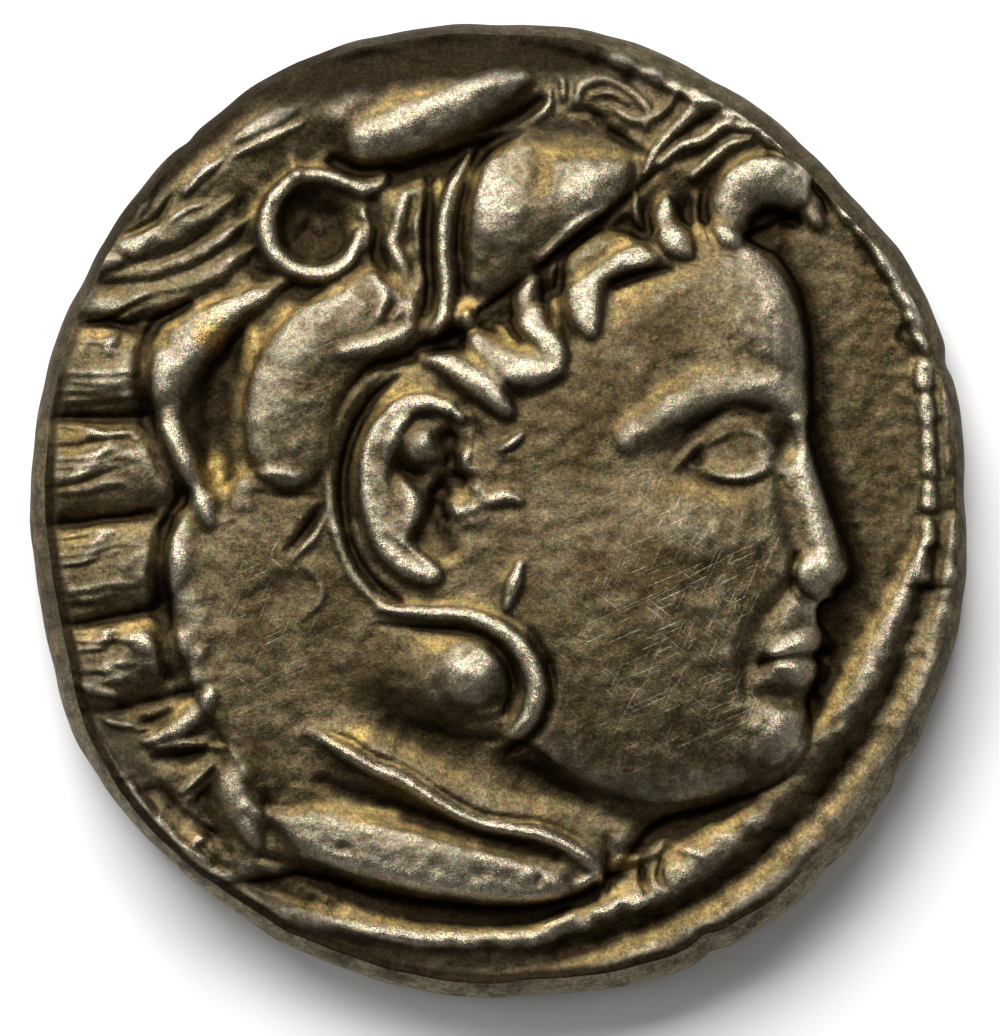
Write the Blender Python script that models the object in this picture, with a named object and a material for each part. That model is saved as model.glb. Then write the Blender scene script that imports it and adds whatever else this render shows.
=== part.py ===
"""Silver drachm of the lion-scalp type, lying on its reverse: one struck flan, obverse up.

Both faces are carved on a die grid, where 100 units are the die's radius, x runs to the right of
the picture and y to its top. A stroke is a short list of (x, y, half width) in those units, and a
height is counted in steps, which are scaled so that the highest point has the relief's height.
"""
import math

import bmesh
import bpy
import numpy as np

FLAN_RADIUS = 0.0085
FIELD_HEIGHT = 0.00158
RELIEF_HEIGHT = 0.00128
EDGE_BULGE = 0.00034
FOOT_WIDTH = 0.0009
DISH_SLOPE = 0.0007
REVERSE_DEPTH = 0.00040
DIE_RADIUS = 0.0085
REVERSE_DIE_RADIUS = 0.0082

DIE_UNIT = DIE_RADIUS / 100
REVERSE_UNIT = REVERSE_DIE_RADIUS / 100
REVERSE_STEP = REVERSE_DEPTH / 6

OBVERSE_CELL = 0.7
REVERSE_CELL = 1.0
GRID_CELLS = 150
TRIANGLES = 9000


# Carver's strokes

def smooth_curve(points, closed=False, spans=7):
    """Points along a smooth curve through the given ones, whatever their columns hold."""
    p = np.array(points, float)
    if closed:
        p = np.vstack([p[-1], p, p[0], p[1]])
    else:
        p = np.vstack([2 * p[0] - p[1], p, 2 * p[-1] - p[-2]])
    t = np.linspace(0, 1, spans, endpoint=False)[:, None]
    pieces = []
    for a, b, c, d in zip(p[:-3], p[1:-2], p[2:-1], p[3:]):
        bend = (2 * a - 5 * b + 4 * c - d) * t**2 + (3 * b - a - 3 * c + d) * t**3
        pieces.append(0.5 * (2 * b + (c - a) * t + bend))
    return np.vstack(pieces + [p[-2:-1]])


def rounded(q):
    return np.sqrt(np.clip(1 - q * q, 0, 1))


def domed(q):
    return np.clip(1 - q * q, 0, 1)


def soft(q):
    return np.clip(1 - q * q, 0, 1) ** 2


def flat_topped(q):
    t = np.clip((1 - q) / 0.6, 0, 1)
    return t * t * (3 - 2 * t)


def blurred(heights, cells):
    """The heights smoothed by a bell curve of that many cells, rows first and then columns."""
    reach = int(math.ceil(2.6 * cells))
    if reach < 1:
        return heights
    steps = np.arange(-reach, reach + 1)
    weights = np.exp(-0.5 * (steps / cells) ** 2)
    weights /= weights.sum()
    for _ in range(2):
        padded = np.pad(heights, ((reach, reach), (0, 0)), mode="edge")
        rows = len(heights)
        heights = sum(w * padded[k:k + rows] for k, w in enumerate(weights)).T
    return heights


class Die:
    """Heights on a square grid of die units, 100 to the die's radius, carved stroke by stroke.

    A stroke is a short list of (x, y, half width).
    """

    def __init__(self, cell, reach=104):
        self.cell = cell
        self.reach = reach
        self.axis = np.arange(-reach, reach + cell / 2, cell)
        self.z = np.zeros((len(self.axis), len(self.axis)))

    def window(self, low, high):
        cols = slice(*np.searchsorted(self.axis, (low[0], high[0])))
        rows = slice(*np.searchsorted(self.axis, (low[1], high[1])))
        x, y = np.meshgrid(self.axis[cols], self.axis[rows])
        return (rows, cols), x, y

    def stroke(self, path, shape):
        """The window that a stroke covers, and its profile there, from 0 at its side to 1."""
        line = smooth_curve(path)
        wide = np.maximum(line[:, 2], self.cell)
        reach = wide.max()
        here, x, y = self.window(line.min(0)[:2] - reach, line.max(0)[:2] + reach)
        share = np.full(x.shape, 9.0)
        width = np.zeros(x.shape)
        for a, b, wa, wb in zip(line[:-1, :2], line[1:, :2], wide[:-1], wide[1:]):
            run = b - a
            t = np.clip(((x - a[0]) * run[0] + (y - a[1]) * run[1]) / (run @ run + 1e-12), 0, 1)
            w = wa + t * (wb - wa)
            q = np.hypot(x - a[0] - t * run[0], y - a[1] - t * run[1]) / w
            width = np.where(q < share, w, width)
            share = np.minimum(q, share)
        return here, shape(share) * np.sqrt(width / reach)

    def ribs(self, rise, *paths, shape=rounded, blur=0.0):
        """Raised strokes. Where two of them cross, the higher one shows."""
        added = np.zeros_like(self.z)
        for path in paths:
            here, profile = self.stroke(path, shape)
            added[here] = np.maximum(added[here], rise * profile)
        self.z += blurred(added, blur / self.cell)

    def grooves(self, depth, *paths, shape=soft):
        for path in paths:
            here, profile = self.stroke(path, shape)
            self.z[here] -= depth * profile

    def mound(self, middle, wide, tall, rise, turn=0.0, shape=soft):
        """A raised oval, or a hollow where the rise is negative."""
        far = max(wide, tall)
        here, x, y = self.window(np.array(middle) - far, np.array(middle) + far)
        c, s = math.cos(math.radians(turn)), math.sin(math.radians(turn))
        dx, dy = x - middle[0], y - middle[1]
        self.z[here] += rise * shape(np.hypot((c * dx + s * dy) / wide, (c * dy - s * dx) / tall))

    def area(self, outline, rise, slope, fade=None):
        """A raised area that rounds over within the slope's width, and may fade in from the left."""
        points = np.array(outline, float)
        here, x, y = self.window(points.min(0) - 2 * slope, points.max(0) + 2 * slope)
        line = smooth_curve(outline, closed=True)
        inside = np.zeros(x.shape, bool)
        for a, b in zip(line[:-1], line[1:]):
            run = b - a
            if run[1]:
                crossing = a[0] + (y - a[1]) * run[0] / run[1]
                inside ^= ((a[1] > y) != (b[1] > y)) & (x < crossing)
        depth = np.clip(2 * blurred(inside.astype(float), slope / 2 / self.cell) - 1, 0, 1)
        raised = rise * np.sqrt(1 - (1 - depth) ** 2) * inside
        if fade:
            t = np.clip((x - fade[0]) / (fade[1] - fade[0]), 0, 1)
            raised = raised * t * t * (3 - 2 * t)
        self.z[here] += raised

    def soften(self, size):
        self.z = blurred(self.z, size / self.cell)

    def read(self, grid, x, y):
        """The grid's values at places between its points."""
        last = len(self.axis) - 1.001
        col = np.clip((x + self.reach) / self.cell, 0, last)
        row = np.clip((y + self.reach) / self.cell, 0, last)
        i, j = col.astype(int), row.astype(int)
        a, b = col - i, row - j
        lower = (1 - a) * grid[j, i] + a * grid[j, i + 1]
        upper = (1 - a) * grid[j + 1, i] + a * grid[j + 1, i + 1]
        return (1 - b) * lower + b * upper


# Flan: a round blank pressed out of true, with a bulging edge. The outline gives the belly's
# reach in shares of the radius, the ledges its overhang in shares of the bulge, and the nicks
# their place, half width and depth.

OUTLINE = [
    (0, 0.965), (28, 0.986), (41, 0.975), (62, 0.987), (80, 1.001), (92, 0.997), (112, 1.006),
    (126, 0.996), (145, 0.977), (165, 0.965), (188, 0.957), (200, 0.966), (209, 0.986), (222, 0.984),
    (245, 0.992), (262, 1.002), (276, 1.003), (293, 1.020), (308, 1.014), (318, 1.003), (333, 0.984),
    (345, 0.980),
]
LEDGES = [
    (0, 0.65), (40, 1.10), (60, 1.15), (85, 0.85), (125, 0.75), (165, 0.95), (202, 1.15), (222, 0.75),
    (245, 0.90), (270, 1.00), (300, 1.20), (325, 1.10),
]
NICKS = [(18, 1.6, 0.010), (130, 1.3, 0.005), (296, 1.5, 0.010), (312, 2.0, 0.009), (327, 1.6, 0.008)]


def round_the_edge(places, angle):
    """The value at an angle in radians, on a smooth closed curve through (degrees, value) places."""
    degrees = np.array([place[0] for place in places], float)
    values = np.array([place[1] for place in places], float)
    degrees = np.concatenate([degrees[-2:] - 360, degrees, degrees[:2] + 360])
    values = np.concatenate([values[-2:], values, values[:2]])
    turn = np.mod(np.degrees(angle), 360)
    k = np.clip(np.searchsorted(degrees, turn, side="right") - 1, 1, len(degrees) - 3)
    slopes = np.gradient(values, degrees)
    gap = degrees[k + 1] - degrees[k]
    t = (turn - degrees[k]) / gap
    start = (1 + 2 * t) * (1 - t) ** 2 * values[k] + t * (1 - t) ** 2 * gap * slopes[k]
    return start + t**2 * (3 - 2 * t) * values[k + 1] + t**2 * (t - 1) * gap * slopes[k + 1]


def belly(angle):
    """Distance from the middle to the widest part of the edge, with its small dents and nicks."""
    share = round_the_edge(OUTLINE, angle)
    for waves, size in [(17, 0.0016), (29, 0.0012), (53, 0.0007)]:
        share = share + size * np.sin(waves * angle + waves)
    for middle, wide, deep in NICKS:
        away = (np.degrees(angle) - middle + 180) % 360 - 180
        share = share - deep * np.exp(-((away / wide) ** 2))
    return FLAN_RADIUS * share


def face_edge(angle):
    """Distance from the middle to the rim of the struck face."""
    return belly(angle) - EDGE_BULGE * round_the_edge(LEDGES, angle)


# Ground of the obverse: the die was hollow, and the worn rim is what ran out past it

FACE_THIRD = 36.0
NOSE_BASE = (63.0, -17.0)


def face_points(*points):
    """Places on the face, given in thirds forward of the facial plane and up from the nose's base."""
    return [(NOSE_BASE[0] + p[0] * FACE_THIRD, NOSE_BASE[1] + p[1] * FACE_THIRD, *p[2:]) for p in points]


PROFILE = face_points(
    (-0.35, 2.02), (-0.10, 1.86), (0.00, 1.55), (0.035, 1.12), (-0.005, 0.90), (0.12, 0.50),
    (0.29, 0.13), (0.275, 0.02), (0.075, -0.06), (0.065, -0.17), (0.115, -0.27), (0.045, -0.355),
    (0.085, -0.45), (0.00, -0.62), (0.04, -0.82), (-0.10, -1.03),
)
JAW = [(47, -60), (32, -64), (22, -76), (8, -81), (-20, -79.5), (-40, -74), (-56, -76), (-84, -66)]
BACK_OF_HEAD = [(-125, -30), (-125, 40), (-85, 92), (-30, 116), (30, 110), (52, 84), (66, 64)]

obverse = Die(OBVERSE_CELL)
obverse.ribs(
    3.4,
    [(-86, -38, 1.5), (-75, -56, 2.4), (-58, -74, 2.8), (-40, -82.6, 3.2), (-20, -86.6, 3.4), (0, -87.4, 3.6),
     (14, -84.6, 5), (28, -79, 6.6), (43.5, -70.4, 7.6), (55.5, -60.4, 8), (65.6, -48.6, 8), (74, -35.6, 7.4),
     (81, -22, 5), (86, -8, 2)],
    shape=soft,
)
obverse.ribs(
    2.6,
    [(-64, -77, 1), (-42, -91, 2), (-12, -97, 2.2), (10, -96, 3), (30, -90.5, 5), (48, -82, 6.5),
     (64, -70, 7.5), (77.5, -54.5, 7.5), (86.5, -36, 6.5), (91.6, -14, 3.4), (93, -2, 1.5)],
    shape=soft,
)
obverse.area(PROFILE + JAW + BACK_OF_HEAD, 4.0, 9)
obverse.mound((0, 0), 98, 104, 4.6)
obverse.mound((-8, 98), 52, 13, -1.2)
obverse.mound((-64, 74), 44, 10, -1.2, turn=45)
obverse.ribs(1.9, [(-84, 47, 4), (-70, 61, 9), (-55, 71.5, 10), (-40, 80, 9), (-26, 86, 5)], shape=soft)
obverse.ribs(
    -1.8,
    [(-99, 18, 3), (-91, 42, 6), (-75, 65, 8), (-52, 84, 9), (-26, 96, 9), (0, 100, 9), (24, 97, 6),
     (44, 88, 2)],
    shape=soft,
)


# Face
# An ideal young face in profile, drawn on the canon of three equal thirds, with full rounded
# cheek and chin, and worn smooth on its highest parts.

front = PROFILE + [
    (47, -58), (32, -61.5), (18, -58), (5, -47), (-30, -40), (-40, 0), (-30, 25), (6, 40), (24, 52), (45, 64),
]
obverse.area(front, 4.4, 20, fade=(-30, 16))
obverse.mound(face_points((-0.74, -0.10))[0], 34, 36, 2.6, turn=20)
obverse.mound(face_points((-0.62, 0.36))[0], 18, 12, 1.1, turn=-20)
obverse.mound(face_points((-0.30, 1.50))[0], 20, 16, 1.2, turn=25)
obverse.ribs(
    1.8, face_points((0.01, 1.05, 3.0), (-0.22, 1.15, 5.5), (-0.60, 1.12, 6.5), (-1.0, 0.88, 5)), shape=soft,
)
obverse.mound(face_points((-0.46, 0.79))[0], 17, 11, -4.0, turn=12)
obverse.mound(face_points((-0.12, 0.84))[0], 6, 5.5, -1.8)
obverse.ribs(
    2.2, face_points((-0.03, 0.96, 3.2), (0.04, 0.64, 4.4), (0.12, 0.30, 5.0), (0.17, 0.14, 5.0)), shape=soft,
)
obverse.mound(face_points((-0.40, 0.775))[0], 7.8, 5.4, 3.2, turn=8, shape=rounded)
obverse.ribs(
    1.6,
    face_points(
        (-0.17, 0.77, 0.9), (-0.25, 0.895, 1.6), (-0.42, 0.94, 1.8), (-0.61, 0.84, 1.6), (-0.76, 0.70, 0.7),
    ),
    face_points((-0.19, 0.72, 0.7), (-0.32, 0.65, 1.3), (-0.48, 0.645, 1.3), (-0.66, 0.72, 0.7)),
    shape=domed, blur=0.3,
)
obverse.grooves(1.1, face_points((-0.23, 1.01, 0.9), (-0.42, 1.05, 1.4), (-0.68, 0.91, 1.0)))
obverse.grooves(1.2, face_points((-0.16, 0.62, 2.4), (-0.10, 0.36, 3.2), (-0.06, 0.20, 2.0)))
obverse.mound(face_points((0.065, 0.115))[0], 5.6, 4.8, 2.2, shape=domed)
obverse.grooves(
    1.4, face_points((-0.10, 0.05, 2.4), (-0.25, -0.14, 4.2), (-0.36, -0.36, 3.6), (-0.34, -0.58, 2.4)),
)
obverse.ribs(
    2.1,
    face_points((0.10, -0.28, 2.4), (0.02, -0.27, 2.9), (-0.10, -0.305, 2.4), (-0.22, -0.355, 0.8)),
    face_points((0.075, -0.445, 2.4), (-0.02, -0.435, 3.0), (-0.12, -0.41, 2.2), (-0.21, -0.37, 0.8)),
    shape=domed, blur=0.4,
)
obverse.grooves(
    2.0, face_points((0.09, -0.355, 0.9), (-0.03, -0.345, 1.1), (-0.15, -0.365, 1.1), (-0.26, -0.39, 1.6)),
)
obverse.mound(face_points((-0.29, -0.40))[0], 4.5, 4.5, -1.2)
obverse.grooves(1.7, face_points((0.03, -0.60, 2.6), (-0.10, -0.595, 4.0), (-0.24, -0.56, 3.0)))
obverse.mound(face_points((-0.12, -0.80))[0], 12, 9, 2.3)
obverse.grooves(1.0, [(6, -52, 2), (16, -59, 3.5), (30, -64, 4), (44, -62, 3), (52, -59, 1.5)])


# Lion's scalp
# The skin of a lion worn as a hood: its muzzle over the brow, a long eyebrow, the ring of its
# ear, and upright folds between them.

obverse.mound((-22, 85), 40, 15, 1.0, turn=12)
obverse.grooves(
    2.6,
    [(-33, 70.5, 2), (-26, 67.5, 4), (-15, 69, 4.6), (-5, 72.6, 4.4), (3, 77.6, 3.6), (9, 83, 1.4)],
)
obverse.grooves(1.3, [(-51.6, 62, 2.0), (-51.4, 54, 3.4), (-47, 46.4, 3.6), (-38, 43.6, 3.0), (-31, 45, 1.6)])
obverse.mound((-36.6, 57.6), 11.5, 11, -3.8)
muzzle = [
    (-5.5, 66), (-3.5, 73), (5, 76.4), (18, 76.6), (28, 73), (31.5, 68.5), (24, 61.6), (15, 54.4), (5, 46.4),
    (-3.4, 39.6), (-7.6, 44), (-7.4, 56),
]
obverse.area(muzzle, 1.9, 10)
obverse.mound((7, 61), 25, 17, 2.0, turn=38)
obverse.mound((0, 61), 12, 13, 2.4)
obverse.mound((17.5, 64), 13, 9, 2.2, turn=32)
obverse.mound((16, 75), 18, 6, -1.6, turn=-6)
obverse.grooves(1.8, [(-5, 38.8, 0.6), (4, 45, 0.8), (15, 53.4, 0.9), (24, 60.6, 0.9), (33, 69, 0.6)])
obverse.grooves(1.2, [(-2.5, 73, 1.6), (-5.8, 64, 2.4), (-7.0, 54, 2.4), (-6.6, 44, 1.4)])
obverse.ribs(
    4.4,
    [(-26, 74.2, 5.2), (-20, 75.8, 6.4), (-10, 79.8, 6.0), (-1, 84.4, 4.6), (5.6, 87.8, 2.0)],
    shape=domed, blur=0.8,
)
obverse.ribs(2.2, [(-30, 79, 7), (-15, 84.5, 8), (0, 89.5, 5)], shape=soft)
obverse.ribs(
    3.4,
    [(-22.6, 67.2, 1.4), (-26, 65.4, 2.7), (-30, 66.2, 2.1), (-35, 67.4, 1.9), (-40.4, 67.2, 2.2),
     (-45.0, 62.6, 2.6), (-46.4, 57, 3.0), (-44.6, 51.6, 2.8), (-40, 48.4, 2.4), (-34.4, 48.0, 2.5),
     (-30.0, 50.8, 2.3), (-28.0, 55.8, 1.5)],
    shape=flat_topped, blur=0.3,
)
obverse.ribs(
    3.0,
    [(-5.2, 72.5, 0.9), (-8.4, 67, 1.5), (-10.6, 60, 1.8), (-11.0, 52, 2.0), (-10.2, 45, 2.1), (-11, 39, 1.9),
     (-12.6, 35.6, 1.2)],
    shape=domed, blur=0.3,
)
obverse.ribs(
    1.9,
    [(-18.2, 64.5, 0.8), (-19.8, 59, 1.8), (-20.8, 53, 2.2), (-18.6, 48, 1.7), (-16.6, 44, 2.4),
     (-17.6, 38.5, 1.6)],
    [(-31, 31.6, 1.6), (-23, 33.2, 2.8), (-14, 36.4, 2.8), (-5.5, 39.4, 1.5)],
    shape=domed, blur=0.45,
)
obverse.grooves(
    1.5,
    [(-13.6, 67, 1.4), (-14.0, 56, 2.0), (-13.6, 47, 1.8), (-14, 41, 0.9)],
    [(-25, 64, 2.0), (-24.6, 54, 2.8), (-22.5, 47, 1.6)],
    [(-26, 28.4, 1.2), (-18, 30.4, 2.0), (-10, 33.4, 2.0), (-4, 36.6, 1.2)],
)
obverse.ribs(
    2.1,
    [(30, 68, 0.9), (32, 72.5, 1.4), (36.4, 77.4, 1.7), (41, 81.6, 2.2), (45, 82.6, 1.2)],
    [(32.5, 69.4, 0.8), (37, 73.4, 1.4), (42, 75, 1.5), (46, 77.8, 1.4), (50.4, 77, 0.9)],
    [(39.6, 67.4, 0.9), (43, 70.4, 1.4), (46.4, 73.6, 1.4), (51.5, 75.2, 0.9)],
    shape=domed, blur=0.25,
)


# Curls over the forehead
# Thick locks that stand up under the edge of the skin, each one a worn, rounded comma.

obverse.grooves(
    2.4,
    [(-14, 33, 6), (-2, 33, 9), (10, 38, 11), (22, 48, 11.5), (36, 56, 11), (50, 62, 11), (62, 64, 8),
     (68, 62, 3)],
)
obverse.ribs(
    4.6,
    [(18.8, 36.0, 1.8), (17.4, 41, 4.2), (18.0, 47, 5.0), (21.6, 50.8, 5.2), (26.4, 51.8, 4.4),
     (31.8, 50.8, 1.6)],
    [(7.4, 47, 1.4), (6.4, 42.5, 3.2), (7.2, 37.5, 3.9), (10.4, 33.4, 3.5), (13, 30.6, 1.6)],
    [(-6, 39.6, 1.2), (-4, 34, 3.0), (0.5, 30.4, 4.6), (6.5, 28.4, 4.5), (12, 28.4, 2.0)],
    [(34.6, 62.4, 1.4), (34.2, 58.5, 3.3), (35.8, 54.8, 3.7), (38.2, 52, 1.7)],
    [(47.2, 54.6, 2.0), (47.0, 59.4, 4.6), (49.6, 64.2, 5.6), (54, 66.6, 5.6), (59, 65.4, 4.6),
     (63.2, 62.2, 3.2), (65.4, 58.2, 1.4)],
    [(-15.5, 31.2, 1.4), (-9, 29.4, 3.0), (-2.8, 25.2, 3.6), (1.8, 20, 1.9)],
    shape=rounded, blur=0.55,
)
obverse.grooves(
    1.8,
    [(23.8, 45.6, 1.6), (28.5, 47.2, 1.8), (35, 48.4, 1.2)],
    [(52, 58.4, 1.8), (56.4, 59.8, 2.2), (60.5, 58.4, 1.6)],
)


# Ear
# A large ear set low, with a broad flat rim, two bosses inside it and a rough floor where the
# die was never polished.

obverse.mound((-17, 3), 17, 23, -1.8)
obverse.grooves(
    1.9,
    [(-20, 26.8, 0.8), (-26, 21.2, 1.1), (-30.2, 12, 1.3), (-31.2, 2, 1.3), (-29.2, -8, 1.3),
     (-24.6, -15, 1.3), (-19, -19.4, 1.0)],
    [(-9.6, 17.6, 1.2), (-8.6, 12, 2.4), (-10, 6.6, 3.2), (-12, 2.4, 3.0), (-10.6, -3, 3.8),
     (-9.8, -8, 3.0)],
)
obverse.ribs(
    0.9,
    [(-23, 28.6, 0.8), (-28.8, 22.8, 1.3), (-33, 14, 1.5), (-34, 4, 1.5), (-32.4, -6, 1.4), (-28, -15, 1.3),
     (-22, -20.4, 0.8)],
    shape=domed,
)
obverse.ribs(
    3.6,
    [(-7.4, 18.4, 1.3), (-11, 21.0, 2.2), (-16.4, 21.2, 3.1), (-21.2, 18, 4.0), (-24.0, 12.6, 4.8),
     (-24.4, 6, 5.2), (-23.6, -1, 5.3), (-21.2, -7, 5.0), (-17.4, -11, 4.4), (-13.2, -13, 2.9)],
    [(-21.4, 6.4, 2.8), (-18.6, 0.6, 5.0), (-20, -5.6, 3.6)],
    shape=flat_topped, blur=0.4,
)
obverse.mound((-17.2, 13.2), 6.4, 6.0, 3.2, shape=domed)


# Mane
# Long locks sweep back from the ear of the skin, and four broad tufts stand out to the edge of
# the coin, parted by deep cuts and finely streaked along their upper sides.

obverse.ribs(
    3.0,
    [(-99, 28.6, 9), (-88, 28.4, 10), (-79, 27.6, 9.8), (-73, 27.4, 8.4), (-68, 27.2, 5)],
    [(-99, 7.4, 9.5), (-88, 8, 11), (-78, 9, 10.8), (-70, 9.6, 9), (-64, 9.8, 5)],
    [(-99, -14.5, 9), (-88, -13.8, 10.6), (-78, -12, 10.2), (-71, -11, 8.4), (-66, -10.6, 5)],
    [(-96, -33, 8), (-85, -32.4, 9.4), (-77, -30.5, 9), (-71, -29, 7.6), (-67, -28, 5)],
    shape=domed, blur=0.3,
)
obverse.grooves(
    1.0,
    [(-93, 38.8, 1.0), (-82, 38.4, 2.0), (-73, 36.0, 1.6)],
    [(-93, 18.2, 0.8), (-84, 18.4, 1.4), (-72, 18.0, 2.0)],
    [(-93, -3.6, 0.8), (-84, -3.0, 1.5), (-70, -1.0, 2.0)],
    [(-92, -24.2, 0.8), (-83, -23.2, 1.4), (-70, -20.6, 1.8)],
    [(-88, -41.4, 0.8), (-79, -41.4, 1.8), (-68, -38.6, 1.8), (-60, -36.2, 0.8)],
)
obverse.grooves(
    1.9,
    [(-62, 42, 1.0), (-69.6, 37, 2.0), (-71.8, 28, 2.6), (-70.6, 18, 3.0), (-67.0, 9.5, 3.2),
     (-63.8, 2.4, 2.6), (-67.4, -5, 2.8), (-68.4, -14, 3.2), (-67.6, -24, 3.0), (-66.8, -34, 1.6)],
)
obverse.grooves(
    2.4,
    [(-50, 39, 2), (-54.4, 31, 4.8), (-57, 22.5, 6.2), (-57, 13.5, 5.4), (-55.6, 6, 3.8), (-55, 0, 1.4)],
)
obverse.ribs(
    3.8,
    [(-43.5, 46.0, 1.4), (-50, 42.2, 3.4), (-57, 38.0, 5.4), (-62.4, 33.0, 6.4), (-65.4, 26.6, 5.4),
     (-66.4, 20, 3.9), (-64.8, 14, 3.4), (-62.4, 8, 3.0), (-59.8, 2, 2.3), (-58, -3, 1.2)],
    shape=domed, blur=0.5,
)
plain = [
    (-66, -1), (-67, -12), (-65.4, -24), (-62, -36), (-56, -46), (-48, -58), (-36, -60), (-26, -46),
    (-30, -24), (-33, -8), (-36, 4), (-48, 8), (-58, 4),
]
obverse.area(plain, 2.0, 5, fade=(-34, -56))
obverse.ribs(
    0.9,
    [(-64.6, -1, 1.4), (-63.4, -8, 3.8), (-61.8, -18, 4.6), (-61, -27, 4.0), (-61.6, -35, 2.0)],
    shape=domed, blur=0.5,
)
lobe = [
    (-23, 50), (-34, 45.5), (-43, 39), (-49.5, 30), (-51.5, 19), (-50.5, 8), (-46, 4.2), (-38, 3.2), (-34, 8),
    (-33, 17), (-29, 26), (-22, 32), (-14, 35), (-17, 43),
]
obverse.area(lobe, 2.4, 8)
obverse.mound((-33, 38), 19, 12, 2.0, turn=36)
obverse.mound((-43, 24), 11, 20, 1.6, turn=-12)
obverse.ribs(
    2.0,
    [(-89, 40.0, 3), (-78, 41.4, 4.2), (-68, 43.2, 3.9), (-60, 46.4, 3.4), (-54, 50.0, 2.2),
     (-49, 53.6, 0.7)],
    [(-78, 47.0, 1.6), (-70, 48.2, 2.6), (-62, 51.2, 2.9), (-55, 55.4, 1.8), (-50, 59.6, 0.7)],
    [(-84, 50.6, 1.4), (-79, 50.2, 2.9), (-73.6, 52.2, 3.4), (-66, 55.4, 3.8), (-59, 59.2, 2.4),
     (-54, 62.6, 0.7)],
    shape=domed, blur=0.2,
)
obverse.ribs(
    2.4,
    [(-72, -47.2, 0.8), (-66, -45.2, 2.6), (-61.4, -41.8, 3.4), (-57.6, -37, 1.2)],
    [(-54, -50, 1.4), (-53.4, -55.5, 4.4), (-51.4, -61.4, 4.4), (-48.8, -68, 1.4)],
    shape=domed, blur=0.4,
)
obverse.grooves(
    1.6,
    [(-69, -50.4, 1.6), (-62.4, -50.2, 3.0), (-57.4, -47.4, 1.4)],
    [(-57.4, -53, 1.0), (-60, -60, 3.6), (-55, -69.5, 2.0)],
)
obverse.grooves(0.8, [(-46.6, -57, 0.8), (-46.4, -63, 1.4), (-46.2, -68.6, 0.7)])
obverse.grooves(1.4, [(-60.6, -58.4, 0.5), (-57.4, -54.4, 0.8), (-55.2, -50.6, 0.5)])


# Jaw of the skin and its knot
# The lion's lower jaw curls round the cheek, the loose skin folds under the chin in two wavy
# edges, and its paws are knotted at the throat.

obverse.grooves(
    1.8,
    [(-24, -23.4, 0.6), (-14, -24.2, 1.0), (-4, -25.6, 1.1), (1.4, -30, 1.2), (3.2, -36, 1.1),
     (1.4, -42, 0.8)],
    [(6.8, -24.4, 0.7), (10.4, -31, 1.3), (11.2, -38, 1.3), (8.2, -45, 1.2), (2.4, -49.4, 0.7)],
)
obverse.ribs(
    3.0,
    [(-24, -20.0, 0.8), (-14, -20.9, 1.8), (-5, -21.7, 2.2), (2, -25.2, 2.6), (6.6, -31, 2.8),
     (7.8, -37.4, 2.7), (5.4, -43.4, 2.2), (1, -47.6, 0.9)],
    shape=flat_topped, blur=0.4,
)
obverse.mound((-7.5, -33), 13, 11, 2.6)
obverse.mound((-4.6, -33), 7.4, 8.2, 1.8, shape=domed)
obverse.mound((-16, -45), 20, 8, -2.4, turn=-32)
obverse.mound((8, -55), 14, 6, -1.6, turn=-22)
obverse.grooves(1.5, [(-36, -55, 2), (-25, -59.4, 4.0), (-13, -63.2, 4.4), (0, -67, 4.0), (12, -70.4, 2.4)])
obverse.ribs(
    2.4,
    [(-35, -46.4, 0.9), (-30.6, -49.0, 1.9), (-25, -52.4, 1.7), (-19.6, -54.4, 1.9), (-14.5, -57.8, 1.8),
     (-8.6, -61.6, 1.7), (-2.6, -64.2, 1.9), (4, -65.0, 1.7), (9, -65.8, 1.8), (14, -68.0, 1.5),
     (19, -71.4, 1.6), (21.6, -76, 0.9)],
    shape=flat_topped, blur=0.25,
)
obverse.ribs(
    1.7,
    [(-38, -45, 3), (-29, -48.6, 6), (-18, -54, 7), (-7, -60.6, 7), (5, -64, 6), (18, -69.4, 4)],
    shape=soft,
)
obverse.grooves(
    1.5,
    [(-34, -45.2, 0.5), (-29.6, -46.9, 0.8), (-24.4, -50.2, 0.8), (-19, -52.1, 0.8), (-13.8, -55.5, 0.8),
     (-8, -59.3, 0.8), (-2.4, -61.9, 0.8), (4, -62.8, 0.8), (9.4, -63.6, 0.8), (15, -66, 0.7),
     (20, -69.6, 0.5)],
)
obverse.ribs(
    2.8,
    [(-54, -59, 0.3), (-44, -63, 2.4), (-34, -66, 7.0), (-18, -70.6, 8.2), (-2, -74, 8), (11, -76.8, 4.4)],
    shape=flat_topped, blur=0.8,
)
obverse.grooves(
    1.9,
    [(-48, -70.6, 1.0), (-40, -72.8, 2.8), (-30, -77.0, 3.8), (-18, -80.2, 4.2), (-4, -81.8, 4.0),
     (9, -82.0, 3.4), (20, -79, 1.6)],
    shape=domed,
)


# Border
# What is left of the ring of dots: seven worn bars before the face, and a raised line above.

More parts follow.
